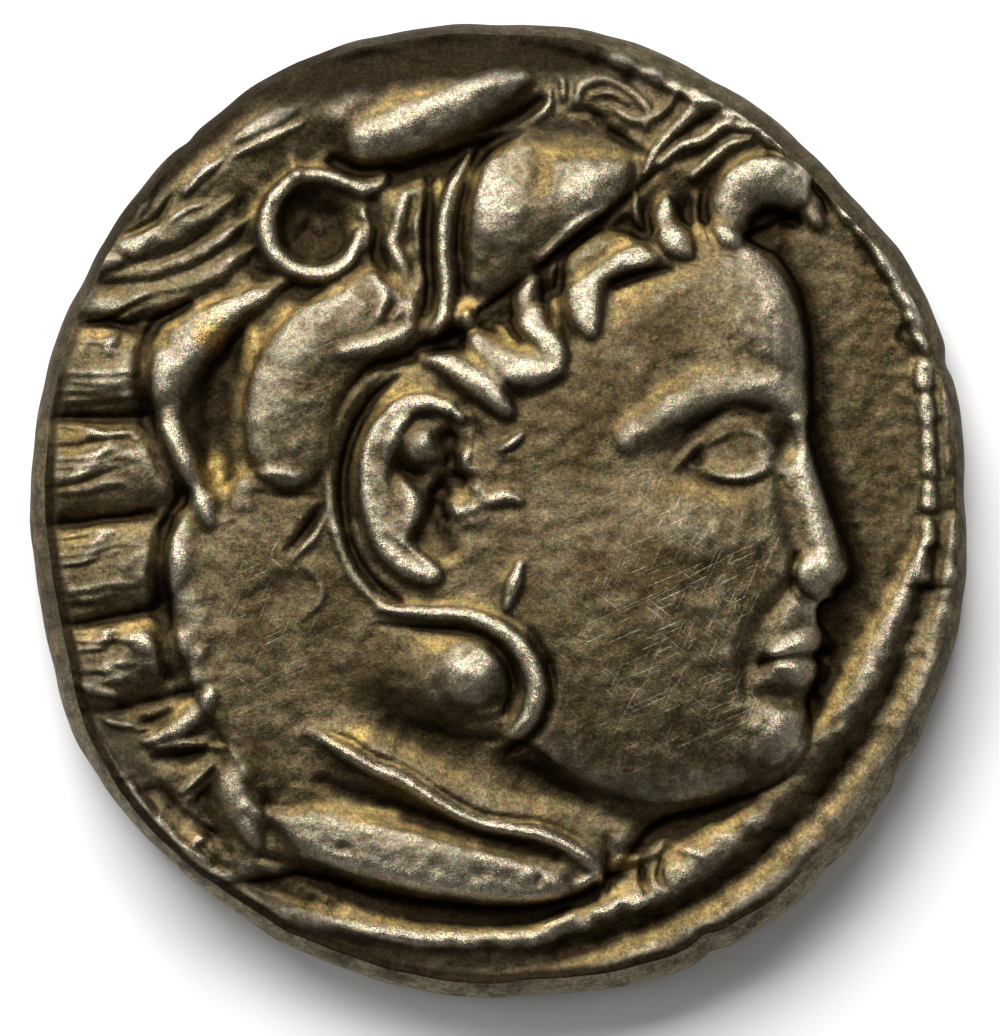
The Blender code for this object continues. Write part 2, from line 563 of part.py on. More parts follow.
DOTS = [
    (86.8, 27.2, 1.6, 1.8), (87.4, 20.4, 1.4, 1.8), (87.6, 14.8, 1.3, 1.6), (87.8, 9.2, 1.3, 1.5),
    (87.8, 2.6, 1.5, 1.5), (87.6, -4.8, 1.6, 1.5), (87.0, -11.8, 1.8, 1.8),
]
for x, y, half, wide in DOTS:
    obverse.ribs(2.1, [(x, y - half, wide + 0.9), (x, y + half, wide + 0.6)], shape=flat_topped, blur=0.3)
obverse.ribs(
    2.2,
    [(5, 95.6, 0.8), (16, 93.6, 1.4), (28, 89.6, 1.7), (36, 85.8, 1.9), (42, 83, 2.0), (50, 78.6, 1.5),
     (57, 74.4, 1.9), (63, 69.4, 1.6), (70, 61.4, 1.7), (76, 53.8, 1.6), (82, 44.2, 2.0), (85.6, 36, 1.8),
     (87, 31.6, 0.9)],
    shape=domed, blur=0.25,
)
obverse.soften(0.6)


# Reverse: a god enthroned, an eagle on the hand, drawn plainly in low relief

reverse = Die(REVERSE_CELL)
reverse.ribs(
    2.4,
    [(-5, -20, 2), (28, -20, 2)], [(27, -58, 1.6), (27, 16, 1.6)], [(-4, -58, 1.6), (-4, -20, 1.6)],
    [(-4, -38, 1.2), (27, -38, 1.2)], [(-34, -60, 1.6), (36, -60, 1.6)], [(38, -58, 1.2), (36, 64, 1.2)],
)
reverse.ribs(
    4.4,
    [(14, -12, 9), (11, 10, 10), (7, 27, 8)],
    [(14, -12, 7), (-2, -10, 7), (-12, -13, 5)],
    [(-12, -13, 5.5), (-15, -34, 4.5), (-20, -54, 2.8), (-28, -56, 2)],
    [(-4, -16, 4), (-5, -38, 3.6), (-9, -54, 2.6), (-16, -56, 1.8)],
    [(5, 27, 4), (-10, 21, 3), (-27, 26, 2)],
    [(12, 28, 4), (24, 27, 3), (35, 40, 2.4)],
    [(-26, 30, 1.6), (-30, 36, 4), (-31, 43, 2.2), (-34, 45, 1.2)],
    [(-26, 40, 2), (-21, 33, 2.4), (-18, 25, 1)],
    blur=0.6,
)
reverse.mound((3, 43), 7, 9, 4.4, shape=rounded)
reverse.ribs(1.2, [(10, 36, 1.6), (9, 46, 2.4), (2, 52, 2.4), (-4, 48, 1.4)])
for fold in range(4):
    left = -9 + 5 * fold
    reverse.grooves(1.2, [(left, -5, 1), (left + 3, -12, 1.4), (left + 2, -18, 1)])
for mark in range(9):
    height = 38 - 9.5 * mark
    reverse.ribs(1.4, [(54, height, 1.5), (60, height, 1.5)])
reverse.soften(0.8)


# Coin: the struck flan as one closed mesh

WALL = [(0.05, 0.88), (0.36, 0.78), (0.78, 0.64), (1.0, 0.42), (0.84, 0.14), (0.45, 0.03)]


def obverse_height(x, y):
    """Height of the upper face above the table."""
    step = RELIEF_HEIGHT / obverse.z.max()
    return FIELD_HEIGHT + step * obverse.read(obverse.z, x / DIE_UNIT, y / DIE_UNIT)


def reverse_height(x, y):
    """Height of the lower face above the table: a flat foot round a shallow struck dish."""
    inset = face_edge(np.arctan2(y, x)) - FOOT_WIDTH - np.hypot(x, y)
    fall = np.clip(inset / DISH_SLOPE, 0, 1)
    dish = REVERSE_DEPTH * fall**2 * (3 - 2 * fall)
    relief = REVERSE_STEP * reverse.read(reverse.z, -x / REVERSE_UNIT, y / REVERSE_UNIT)
    return np.where(inset > 0, np.maximum(dish - relief, 0), 0)


def place(verts, x, y, z):
    for vert, spot in zip(verts, np.column_stack([x, y, z])):
        vert.co = spot


def angles_of(verts):
    spots = np.array([vert.co[:] for vert in verts])
    return np.arctan2(spots[:, 1], spots[:, 0])


def pressed(mesh, height):
    """A square grid pressed to the round of the struck face, at the heights of its die."""
    grid = bmesh.ops.create_grid(mesh, x_segments=GRID_CELLS, y_segments=GRID_CELLS, size=1)["verts"]
    square = np.array([vert.co[:] for vert in grid])
    x = square[:, 0] * np.sqrt(1 - square[:, 1] ** 2 / 2)
    y = square[:, 1] * np.sqrt(1 - square[:, 0] ** 2 / 2)
    out = face_edge(np.arctan2(y, x))
    place(grid, x * out, y * out, height(x * out, y * out))


def draw_down_wall(mesh):
    """The rim drawn out and down in rings, which swell to the belly of the edge."""
    rim = [edge for edge in mesh.edges if edge.is_boundary]
    for out_share, high_share in WALL:
        drawn = bmesh.ops.extrude_edge_only(mesh, edges=rim)["geom"]
        rim = [part for part in drawn if isinstance(part, bmesh.types.BMEdge) and part.is_boundary]
        ring = [part for part in drawn if isinstance(part, bmesh.types.BMVert)]
        angle = angles_of(ring)
        inner = face_edge(angle)
        high = obverse_height(inner * np.cos(angle), inner * np.sin(angle))
        out = inner + out_share * (belly(angle) - inner)
        place(ring, out * np.cos(angle), out * np.sin(angle), high_share * high)


def build_flan():
    """The closed mesh, centred over its bounding box."""
    mesh = bmesh.new()
    pressed(mesh, obverse_height)
    draw_down_wall(mesh)
    pressed(mesh, reverse_height)
    bmesh.ops.bridge_loops(mesh, edges=[edge for edge in mesh.edges if edge.is_boundary])
    bmesh.ops.recalc_face_normals(mesh, faces=mesh.faces)
    spots = np.array([vert.co[:] for vert in mesh.verts])
    middle = (spots.max(0) + spots.min(0)) / 2
    bmesh.ops.translate(mesh, verts=mesh.verts, vec=(-middle[0], -middle[1], 0))
    return mesh


def toned_silver():
    """Old silver, worn pale on the relief and dark brown where the tone stays."""
    material = bpy.data.materials.new("toned silver")
    material.use_nodes = True
    shader = material.node_tree.nodes["Principled BSDF"]
    shader.inputs["Base Color"].default_value = (0.36, 0.31, 0.22, 1)
    shader.inputs["Metallic"].default_value = 1
    shader.inputs["Roughness"].default_value = 0.42
    return material


for old in list(bpy.data.objects):
    bpy.data.objects.remove(old)
collection = bpy.data.collections.new("drachm coin")
bpy.context.scene.collection.children.link(collection)

flan = build_flan()
full_mesh = bpy.data.meshes.new("coin")
flan.to_mesh(full_mesh)
flan.free()
coin = bpy.data.objects.new("coin", full_mesh)
collection.objects.link(coin)

thinning = coin.modifiers.new("fewer faces", "DECIMATE")
thinning.ratio = TRIANGLES / (2 * len(full_mesh.polygons))
bpy.context.view_layer.update()
thinned = bpy.data.meshes.new_from_object(coin.evaluated_get(bpy.context.evaluated_depsgraph_get()))
coin.modifiers.clear()
coin.data = thinned
for vert in thinned.vertices:
    if vert.co.z < 0.02 * REVERSE_DEPTH:
        vert.co.z = 0
thinned.shade_smooth()
thinned.set_sharp_from_angle(angle=math.radians(50))
thinned.materials.append(toned_silver())
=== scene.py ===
import math

import bmesh
import bpy
import numpy as np
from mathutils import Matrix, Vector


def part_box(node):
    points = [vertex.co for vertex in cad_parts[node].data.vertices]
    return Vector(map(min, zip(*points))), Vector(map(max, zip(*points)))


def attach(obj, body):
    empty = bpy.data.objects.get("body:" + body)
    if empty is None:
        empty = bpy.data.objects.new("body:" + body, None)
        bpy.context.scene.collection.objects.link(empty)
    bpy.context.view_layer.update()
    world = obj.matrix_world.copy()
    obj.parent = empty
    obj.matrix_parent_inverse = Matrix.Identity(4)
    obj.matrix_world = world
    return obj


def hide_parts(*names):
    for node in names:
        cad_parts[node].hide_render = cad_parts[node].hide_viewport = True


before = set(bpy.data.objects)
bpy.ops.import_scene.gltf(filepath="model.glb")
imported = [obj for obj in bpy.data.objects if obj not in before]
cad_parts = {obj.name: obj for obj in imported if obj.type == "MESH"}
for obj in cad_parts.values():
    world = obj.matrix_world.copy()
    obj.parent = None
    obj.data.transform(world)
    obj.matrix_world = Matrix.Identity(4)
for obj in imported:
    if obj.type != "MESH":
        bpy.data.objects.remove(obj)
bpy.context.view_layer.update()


# Flan
# A round blank cast in silver and struck between two dies, which pressed it out of true. It is
# thick, and its edge bellies out, so the edge shows past the struck face from straight above.
# The outline gives the belly's reach in shares of the radius, the ledges its overhang in shares
# of the bulge, the nicks their place, half width and depth, and the dents their number round the
# edge and their depth.

coin_low, coin_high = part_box("coin")
BOX_GAP = 0.000004
FLAN_RADIUS = 0.0085
FIELD_HEIGHT = 0.00158
EDGE_BULGE = 0.00034
OUTLINE = [
    (0, 0.965), (28, 0.986), (41, 0.975), (62, 0.987), (80, 1.001), (92, 0.997), (112, 1.006),
    (126, 0.996), (145, 0.977), (165, 0.965), (188, 0.957), (200, 0.966), (209, 0.986), (222, 0.984),
    (245, 0.992), (262, 1.002), (276, 1.003), (293, 1.020), (308, 1.014), (318, 1.003), (333, 0.984),
    (345, 0.980),
]
LEDGES = [
    (0, 0.65), (40, 1.10), (60, 1.15), (85, 0.85), (125, 0.75), (165, 0.95), (202, 1.15), (222, 0.75),
    (245, 0.90), (270, 1.00), (300, 1.20), (325, 1.10),
]
NICKS = [(18, 1.6, 0.010), (130, 1.3, 0.005), (296, 1.5, 0.010), (312, 2.0, 0.009), (327, 1.6, 0.008)]
DENTS = [(17, 0.0016), (29, 0.0012), (53, 0.0007)]


def round_the_edge(places, angle):
    """The value at an angle in radians, on a smooth closed curve through (degrees, value) places."""
    degrees = np.array([place[0] for place in places], float)
    values = np.array([place[1] for place in places], float)
    degrees = np.concatenate([degrees[-2:] - 360, degrees, degrees[:2] + 360])
    values = np.concatenate([values[-2:], values, values[:2]])
    turn = np.mod(np.degrees(angle), 360)
    k = np.clip(np.searchsorted(degrees, turn, side="right") - 1, 1, len(degrees) - 3)
    slopes = np.gradient(values, degrees)
    gap = degrees[k + 1] - degrees[k]
    t = (turn - degrees[k]) / gap
    start = (1 + 2 * t) * (1 - t) ** 2 * values[k] + t * (1 - t) ** 2 * gap * slopes[k]
    return start + t**2 * (3 - 2 * t) * values[k + 1] + t**2 * (t - 1) * gap * slopes[k + 1]


def belly(angle):
    """Distance from the middle to the widest part of the edge, with its small dents and nicks."""
    share = round_the_edge(OUTLINE, angle)
    for waves, size in DENTS:
        share = share + size * np.sin(waves * angle + waves)
    for middle, wide, deep in NICKS:
        away = (np.degrees(angle) - middle + 180) % 360 - 180
        share = share - deep * np.exp(-((away / wide) ** 2))
    return FLAN_RADIUS * share


def face_edge(angle):
    """Distance from the middle to the rim of the struck face."""
    return belly(angle) - EDGE_BULGE * round_the_edge(LEDGES, angle)


# Ground of the obverse
# The die's ground is cut slightly hollow, so the metal swells towards the middle of the head.
# Round the bottom and right the flan outgrew the die and left a worn, ragged rim.

DIE_RADIUS = 0.0085
DIE_UNIT = DIE_RADIUS / 100
OBVERSE_CELL = 0.25


def smooth_curve(points, closed=False, spans=7):
    """Points along a smooth curve through the given ones, whatever their columns hold."""
    p = np.array(points, float)
    if closed:
        p = np.vstack([p[-1], p, p[0], p[1]])
    else:
        p = np.vstack([2 * p[0] - p[1], p, 2 * p[-1] - p[-2]])
    t = np.linspace(0, 1, spans, endpoint=False)[:, None]
    pieces = []
    for a, b, c, d in zip(p[:-3], p[1:-2], p[2:-1], p[3:]):
        bend = (2 * a - 5 * b + 4 * c - d) * t**2 + (3 * b - a - 3 * c + d) * t**3
        pieces.append(0.5 * (2 * b + (c - a) * t + bend))
    return np.vstack(pieces + [p[-2:-1]])


def rounded(q):
    return np.sqrt(np.clip(1 - q * q, 0, 1))


def domed(q):
    return np.clip(1 - q * q, 0, 1)


def soft(q):
    return np.clip(1 - q * q, 0, 1) ** 2


def flat_topped(q):
    t = np.clip((1 - q) / 0.6, 0, 1)
    return t * t * (3 - 2 * t)


def blurred(heights, cells):
    """The heights smoothed by a bell curve of that many cells, rows first and then columns."""
    reach = int(math.ceil(2.6 * cells))
    if reach < 1:
        return heights
    steps = np.arange(-reach, reach + 1)
    weights = np.exp(-0.5 * (steps / cells) ** 2)
    weights /= weights.sum()
    for _ in range(2):
        padded = np.pad(heights, ((reach, reach), (0, 0)), mode="edge")
        rows = len(heights)
        heights = sum(w * padded[k:k + rows] for k, w in enumerate(weights)).T
    return heights


class Die:
    """Heights on a square grid of die units, 100 to the die's radius, carved stroke by stroke.

    A stroke is a short list of (x, y, half width).
    """

    def __init__(self, cell, reach=104):
        self.cell = cell
        self.reach = reach
        self.axis = np.arange(-reach, reach + cell / 2, cell)
        self.z = np.zeros((len(self.axis), len(self.axis)))

    def window(self, low, high):
        cols = slice(*np.searchsorted(self.axis, (low[0], high[0])))
        rows = slice(*np.searchsorted(self.axis, (low[1], high[1])))
        x, y = np.meshgrid(self.axis[cols], self.axis[rows])
        return (rows, cols), x, y

    def stroke(self, path, shape):
        """The window that a stroke covers, and its profile there, from 0 at its side to 1."""
        line = smooth_curve(path)
        wide = np.maximum(line[:, 2], self.cell)
        reach = wide.max()
        here, x, y = self.window(line.min(0)[:2] - reach, line.max(0)[:2] + reach)
        share = np.full(x.shape, 9.0)
        width = np.zeros(x.shape)
        for a, b, wa, wb in zip(line[:-1, :2], line[1:, :2], wide[:-1], wide[1:]):
            run = b - a
            t = np.clip(((x - a[0]) * run[0] + (y - a[1]) * run[1]) / (run @ run + 1e-12), 0, 1)
            w = wa + t * (wb - wa)
            q = np.hypot(x - a[0] - t * run[0], y - a[1] - t * run[1]) / w
            width = np.where(q < share, w, width)
            share = np.minimum(q, share)
        return here, shape(share) * np.sqrt(width / reach)

    def ribs(self, rise, *paths, shape=rounded, blur=0.0):
        """Raised strokes. Where two of them cross, the higher one shows."""
        added = np.zeros_like(self.z)
        for path in paths:
            here, profile = self.stroke(path, shape)
            added[here] = np.maximum(added[here], rise * profile)
        self.z += blurred(added, blur / self.cell)

    def grooves(self, depth, *paths, shape=soft):
        for path in paths:
            here, profile = self.stroke(path, shape)
            self.z[here] -= depth * profile

    def mound(self, middle, wide, tall, rise, turn=0.0, shape=soft):
        """A raised oval, or a hollow where the rise is negative."""
        far = max(wide, tall)
        here, x, y = self.window(np.array(middle) - far, np.array(middle) + far)
        c, s = math.cos(math.radians(turn)), math.sin(math.radians(turn))
        dx, dy = x - middle[0], y - middle[1]
        self.z[here] += rise * shape(np.hypot((c * dx + s * dy) / wide, (c * dy - s * dx) / tall))

    def area(self, outline, rise, slope, fade=None):
        """A raised area that rounds over within the slope's width, and may fade in from the left."""
        points = np.array(outline, float)
        here, x, y = self.window(points.min(0) - 2 * slope, points.max(0) + 2 * slope)
        line = smooth_curve(outline, closed=True)
        inside = np.zeros(x.shape, bool)
        for a, b in zip(line[:-1], line[1:]):
            run = b - a
            if run[1]:
                crossing = a[0] + (y - a[1]) * run[0] / run[1]
                inside ^= ((a[1] > y) != (b[1] > y)) & (x < crossing)
        depth = np.clip(2 * blurred(inside.astype(float), slope / 2 / self.cell) - 1, 0, 1)
        raised = rise * np.sqrt(1 - (1 - depth) ** 2) * inside
        if fade:
            t = np.clip((x - fade[0]) / (fade[1] - fade[0]), 0, 1)
            raised = raised * t * t * (3 - 2 * t)
        self.z[here] += raised

    def roughen(self, size, height, seed, spot=None, share=1.0):
        """Random unevenness, so many units across, all over, in a spot or by a share for each point."""
        grains = np.random.default_rng(seed).normal(size=self.z.shape)
        grains = blurred(grains, size / self.cell)
        if spot:
            middle, wide, tall = spot
            x, y = np.meshgrid(self.axis, self.axis)
            share = soft(np.hypot((x - middle[0]) / wide, (y - middle[1]) / tall))
        self.z += height * share * grains / grains.std()

    def soften(self, size):
        self.z = blurred(self.z, size / self.cell)

    def read(self, grid, x, y):
        """The grid's values at places between its points."""
        last = len(self.axis) - 1.001
        col = np.clip((x + self.reach) / self.cell, 0, last)
        row = np.clip((y + self.reach) / self.cell, 0, last)
        i, j = col.astype(int), row.astype(int)
        a, b = col - i, row - j
        lower = (1 - a) * grid[j, i] + a * grid[j, i + 1]
        upper = (1 - a) * grid[j + 1, i] + a * grid[j + 1, i + 1]
        return (1 - b) * lower + b * upper


FACE_THIRD = 36.0
NOSE_BASE = (63.0, -17.0)


def face_points(*points):
    """Places on the face, given in thirds forward of the facial plane and up from the nose's base."""
    return [(NOSE_BASE[0] + p[0] * FACE_THIRD, NOSE_BASE[1] + p[1] * FACE_THIRD, *p[2:]) for p in points]


PROFILE = face_points(
    (-0.35, 2.02), (-0.10, 1.86), (0.00, 1.55), (0.035, 1.12), (-0.005, 0.90), (0.12, 0.50),
    (0.29, 0.13), (0.275, 0.02), (0.075, -0.06), (0.065, -0.17), (0.115, -0.27), (0.045, -0.355),
    (0.085, -0.45), (0.00, -0.62), (0.04, -0.82), (-0.10, -1.03),
)
JAW = [(47, -60), (32, -64), (22, -76), (8, -81), (-20, -79.5), (-40, -74), (-56, -76), (-84, -66)]
BACK_OF_HEAD = [(-125, -30), (-125, 40), (-85, 92), (-30, 116), (30, 110), (52, 84), (66, 64)]

obverse = Die(OBVERSE_CELL)
obverse.ribs(
    3.4,
    [(-86, -38, 1.5), (-75, -56, 2.4), (-58, -74, 2.8), (-40, -82.6, 3.2), (-20, -86.6, 3.4), (0, -87.4, 3.6),
     (14, -84.6, 5), (28, -79, 6.6), (43.5, -70.4, 7.6), (55.5, -60.4, 8), (65.6, -48.6, 8), (74, -35.6, 7.4),
     (81, -22, 5), (86, -8, 2)],
    shape=soft,
)
obverse.ribs(
    2.6,
    [(-64, -77, 1), (-42, -91, 2), (-12, -97, 2.2), (10, -96, 3), (30, -90.5, 5), (48, -82, 6.5),
     (64, -70, 7.5), (77.5, -54.5, 7.5), (86.5, -36, 6.5), (91.6, -14, 3.4), (93, -2, 1.5)],
    shape=soft,
)
obverse.area(PROFILE + JAW + BACK_OF_HEAD, 4.0, 9)
obverse.mound((0, 0), 98, 104, 4.6)
obverse.mound((-8, 98), 52, 13, -1.2)
obverse.mound((-64, 74), 44, 10, -1.2, turn=45)
obverse.ribs(1.9, [(-84, 47, 4), (-70, 61, 9), (-55, 71.5, 10), (-40, 80, 9), (-26, 86, 5)], shape=soft)


# Face
# An ideal young face in profile, drawn on the canon of three equal thirds, with full rounded
# cheek and chin, and worn smooth on its highest parts.

front = PROFILE + [
    (47, -58), (32, -61.5), (18, -58), (5, -47), (-30, -40), (-40, 0), (-30, 25), (6, 40), (24, 52), (45, 64),
]
obverse.area(front, 4.4, 20, fade=(-30, 16))
obverse.mound(face_points((-0.74, -0.10))[0], 34, 36, 2.6, turn=20)
obverse.mound(face_points((-0.62, 0.36))[0], 18, 12, 1.1, turn=-20)
obverse.mound(face_points((-0.30, 1.50))[0], 20, 16, 1.2, turn=25)
obverse.ribs(
    1.8, face_points((0.01, 1.05, 3.0), (-0.22, 1.15, 5.5), (-0.60, 1.12, 6.5), (-1.0, 0.88, 5)), shape=soft,
)
obverse.mound(face_points((-0.46, 0.79))[0], 17, 11, -4.0, turn=12)
obverse.mound(face_points((-0.12, 0.84))[0], 6, 5.5, -1.8)
obverse.ribs(
    2.2, face_points((-0.03, 0.96, 3.2), (0.04, 0.64, 4.4), (0.12, 0.30, 5.0), (0.17, 0.14, 5.0)), shape=soft,
)
obverse.mound(face_points((-0.40, 0.775))[0], 7.8, 5.4, 3.2, turn=8, shape=rounded)
obverse.ribs(
    1.6,
    face_points(
        (-0.17, 0.77, 0.9), (-0.25, 0.895, 1.6), (-0.42, 0.94, 1.8), (-0.61, 0.84, 1.6), (-0.76, 0.70, 0.7),
    ),
    face_points((-0.19, 0.72, 0.7), (-0.32, 0.65, 1.3), (-0.48, 0.645, 1.3), (-0.66, 0.72, 0.7)),
    shape=domed, blur=0.3,
)
obverse.grooves(1.1, face_points((-0.23, 1.01, 0.9), (-0.42, 1.05, 1.4), (-0.68, 0.91, 1.0)))
obverse.mound(face_points((-0.31, 0.79))[0], 2.2, 2.6, -0.5)
obverse.grooves(1.2, face_points((-0.16, 0.62, 2.4), (-0.10, 0.36, 3.2), (-0.06, 0.20, 2.0)))
obverse.mound(face_points((0.065, 0.115))[0], 5.6, 4.8, 2.2, shape=domed)
obverse.grooves(
    1.4, face_points((-0.07, 0.22, 1.2), (-0.09, 0.07, 1.5), (-0.03, -0.02, 1.3), (0.05, -0.04, 0.9)),
)
obverse.mound(face_points((0.17, 0.02))[0], 2.4, 1.5, -1.6)
obverse.grooves(
    1.4, face_points((-0.10, 0.05, 2.4), (-0.25, -0.14, 4.2), (-0.36, -0.36, 3.6), (-0.34, -0.58, 2.4)),
)
obverse.ribs(
    2.1,
    face_points((0.10, -0.28, 2.4), (0.02, -0.27, 2.9), (-0.10, -0.305, 2.4), (-0.22, -0.355, 0.8)),
    face_points((0.075, -0.445, 2.4), (-0.02, -0.435, 3.0), (-0.12, -0.41, 2.2), (-0.21, -0.37, 0.8)),
    shape=domed, blur=0.4,
)
obverse.grooves(
    2.0, face_points((0.09, -0.355, 0.9), (-0.03, -0.345, 1.1), (-0.15, -0.365, 1.1), (-0.26, -0.39, 1.6)),
)
obverse.mound(face_points((-0.29, -0.40))[0], 4.5, 4.5, -1.2)
obverse.grooves(1.7, face_points((0.03, -0.60, 2.6), (-0.10, -0.595, 4.0), (-0.24, -0.56, 3.0)))
obverse.mound(face_points((-0.12, -0.80))[0], 12, 9, 2.3)
obverse.grooves(1.0, [(6, -52, 2), (16, -59, 3.5), (30, -64, 4), (44, -62, 3), (52, -59, 1.5)])


# Lion's scalp
# The skin of a lion worn as a hood: its muzzle over the brow, a long eyebrow, the ring of its
# ear, and upright folds between them.

obverse.mound((-22, 85), 40, 15, 1.0, turn=12)
obverse.grooves(
    2.6,
    [(-33, 70.5, 2), (-26, 67.5, 4), (-15, 69, 4.6), (-5, 72.6, 4.4), (3, 77.6, 3.6), (9, 83, 1.4)],
)
obverse.grooves(1.3, [(-51.6, 62, 2.0), (-51.4, 54, 3.4), (-47, 46.4, 3.6), (-38, 43.6, 3.0), (-31, 45, 1.6)])
obverse.mound((-36.6, 57.6), 11.5, 11, -3.8)
muzzle = [
    (-5.5, 66), (-3.5, 73), (5, 76.4), (18, 76.6), (28, 73), (31.5, 68.5), (24, 61.6), (15, 54.4), (5, 46.4),
    (-3.4, 39.6), (-7.6, 44), (-7.4, 56),
]
obverse.area(muzzle, 1.9, 10)
obverse.mound((7, 61), 25, 17, 2.0, turn=38)
obverse.mound((0, 61), 12, 13, 2.4)
obverse.mound((17.5, 64), 13, 9, 2.2, turn=32)
obverse.mound((16, 75), 18, 6, -1.6, turn=-6)
obverse.grooves(1.8, [(-5, 38.8, 0.6), (4, 45, 0.8), (15, 53.4, 0.9), (24, 60.6, 0.9), (33, 69, 0.6)])
obverse.grooves(1.2, [(-2.5, 73, 1.6), (-5.8, 64, 2.4), (-7.0, 54, 2.4), (-6.6, 44, 1.4)])
obverse.ribs(
    4.4,
    [(-26, 74.2, 5.2), (-20, 75.8, 6.4), (-10, 79.8, 6.0), (-1, 84.4, 4.6), (5.6, 87.8, 2.0)],
    shape=domed, blur=0.8,
)
obverse.ribs(2.2, [(-30, 79, 7), (-15, 84.5, 8), (0, 89.5, 5)], shape=soft)
obverse.ribs(
    3.4,
    [(-22.6, 67.2, 1.4), (-26, 65.4, 2.7), (-30, 66.2, 2.1), (-35, 67.4, 1.9), (-40.4, 67.2, 2.2),
     (-45.0, 62.6, 2.6), (-46.4, 57, 3.0), (-44.6, 51.6, 2.8), (-40, 48.4, 2.4), (-34.4, 48.0, 2.5),
     (-30.0, 50.8, 2.3), (-28.0, 55.8, 1.5)],
    shape=flat_topped, blur=0.3,
)
obverse.ribs(
    3.0,
    [(-5.2, 72.5, 0.9), (-8.4, 67, 1.5), (-10.6, 60, 1.8), (-11.0, 52, 2.0), (-10.2, 45, 2.1), (-11, 39, 1.9),
     (-12.6, 35.6, 1.2)],
    shape=domed, blur=0.3,
)
obverse.ribs(
    1.9,
    [(-18.2, 64.5, 0.8), (-19.8, 59, 1.8), (-20.8, 53, 2.2), (-18.6, 48, 1.7), (-16.6, 44, 2.4),
     (-17.6, 38.5, 1.6)],
    [(-31, 31.6, 1.6), (-23, 33.2, 2.8), (-14, 36.4, 2.8), (-5.5, 39.4, 1.5)],
    shape=domed, blur=0.45,
)
obverse.grooves(
    1.5,
    [(-13.6, 67, 1.4), (-14.0, 56, 2.0), (-13.6, 47, 1.8), (-14, 41, 0.9)],
    [(-25, 64, 2.0), (-24.6, 54, 2.8), (-22.5, 47, 1.6)],
    [(-26, 28.4, 1.2), (-18, 30.4, 2.0), (-10, 33.4, 2.0), (-4, 36.6, 1.2)],
)
obverse.ribs(
    1.5, [(-40.5, 67.5, 1.4), (-41.6, 70.8, 0.8)], [(-26.4, 53, 0.9), (-25.8, 57, 1.2), (-27.2, 60, 0.8)],
)
obverse.ribs(
    1.2,
    [(-15.0, 63, 0.5), (-16.2, 57, 0.9), (-15.8, 50, 0.8), (-14.8, 45, 0.5)],
    [(-24.6, 46.5, 0.9), (-22.4, 43, 1.6), (-24, 38.5, 0.9)],
    [(-20, 43.6, 0.5), (-19.4, 41, 0.9), (-20.6, 38, 0.5)],
    [(-7.2, 66, 0.5), (-8.6, 60, 0.7), (-8.8, 53, 0.7), (-8.2, 47, 0.5)],
    shape=domed,
)
obverse.mound((8.5, 66), 2.4, 8, -0.4, turn=-12)
obverse.mound((-1, 51.4), 1.8, 2.4, -0.5)
obverse.ribs(
    1.3,
    [(-12, 72.6, 0.8), (-3, 75.4, 1.1), (6, 78.4, 1.3), (10.4, 81.6, 1.1), (10.6, 85, 0.7)],
    [(16, 82.6, 1.0), (17.6, 86.2, 1.5), (22.5, 87.2, 1.5), (27, 84.8, 1.4), (30.5, 81, 1.4),
     (30, 77.5, 1.0)],
    [(24, 81, 0.7), (28.5, 78.8, 1.2), (33.5, 80.6, 1.2), (36.6, 84.6, 0.8)],
    [(19, 84, 0.6), (23, 84.4, 0.9), (26.6, 82.4, 0.6)],
    [(13.4, 83.4, 0.9), (13.4, 86.4, 1.1), (12.6, 88, 0.7)],
    shape=domed,
)
obverse.ribs(
    2.1,
    [(30, 68, 0.9), (32, 72.5, 1.4), (36.4, 77.4, 1.7), (41, 81.6, 2.2), (45, 82.6, 1.2)],
    [(32.5, 69.4, 0.8), (37, 73.4, 1.4), (42, 75, 1.5), (46, 77.8, 1.4), (50.4, 77, 0.9)],
    [(39.6, 67.4, 0.9), (43, 70.4, 1.4), (46.4, 73.6, 1.4), (51.5, 75.2, 0.9)],
    shape=domed, blur=0.25,
)
obverse.grooves(
    1.3,
    [(34, 72.4, 0.5), (40, 77.8, 0.8), (44, 79.4, 0.5)],
    [(37, 70.4, 0.5), (43, 73, 0.7), (47, 75.6, 0.5)],
    [(20, 79.5, 1.2), (24, 76, 1.4), (30, 72, 1.0)],
    [(14.6, 80.6, 0.7), (19, 80.4, 1.0), (23, 79, 0.6)],
)


# Curls over the forehead
# Thick locks that stand up under the edge of the skin, each one a worn, rounded comma.

obverse.grooves(
    2.4,
    [(-14, 33, 6), (-2, 33, 9), (10, 38, 11), (22, 48, 11.5), (36, 56, 11), (50, 62, 11), (62, 64, 8),
     (68, 62, 3)],
)
obverse.ribs(
    4.6,
    [(18.8, 36.0, 1.8), (17.4, 41, 4.2), (18.0, 47, 5.0), (21.6, 50.8, 5.2), (26.4, 51.8, 4.4),
     (31.8, 50.8, 1.6)],
    [(7.4, 47, 1.4), (6.4, 42.5, 3.2), (7.2, 37.5, 3.9), (10.4, 33.4, 3.5), (13, 30.6, 1.6)],
    [(-6, 39.6, 1.2), (-4, 34, 3.0), (0.5, 30.4, 4.6), (6.5, 28.4, 4.5), (12, 28.4, 2.0)],
    [(34.6, 62.4, 1.4), (34.2, 58.5, 3.3), (35.8, 54.8, 3.7), (38.2, 52, 1.7)],
    [(47.2, 54.6, 2.0), (47.0, 59.4, 4.6), (49.6, 64.2, 5.6), (54, 66.6, 5.6), (59, 65.4, 4.6),
     (63.2, 62.2, 3.2), (65.4, 58.2, 1.4)],
    [(-15.5, 31.2, 1.4), (-9, 29.4, 3.0), (-2.8, 25.2, 3.6), (1.8, 20, 1.9)],
    shape=rounded, blur=0.55,
)
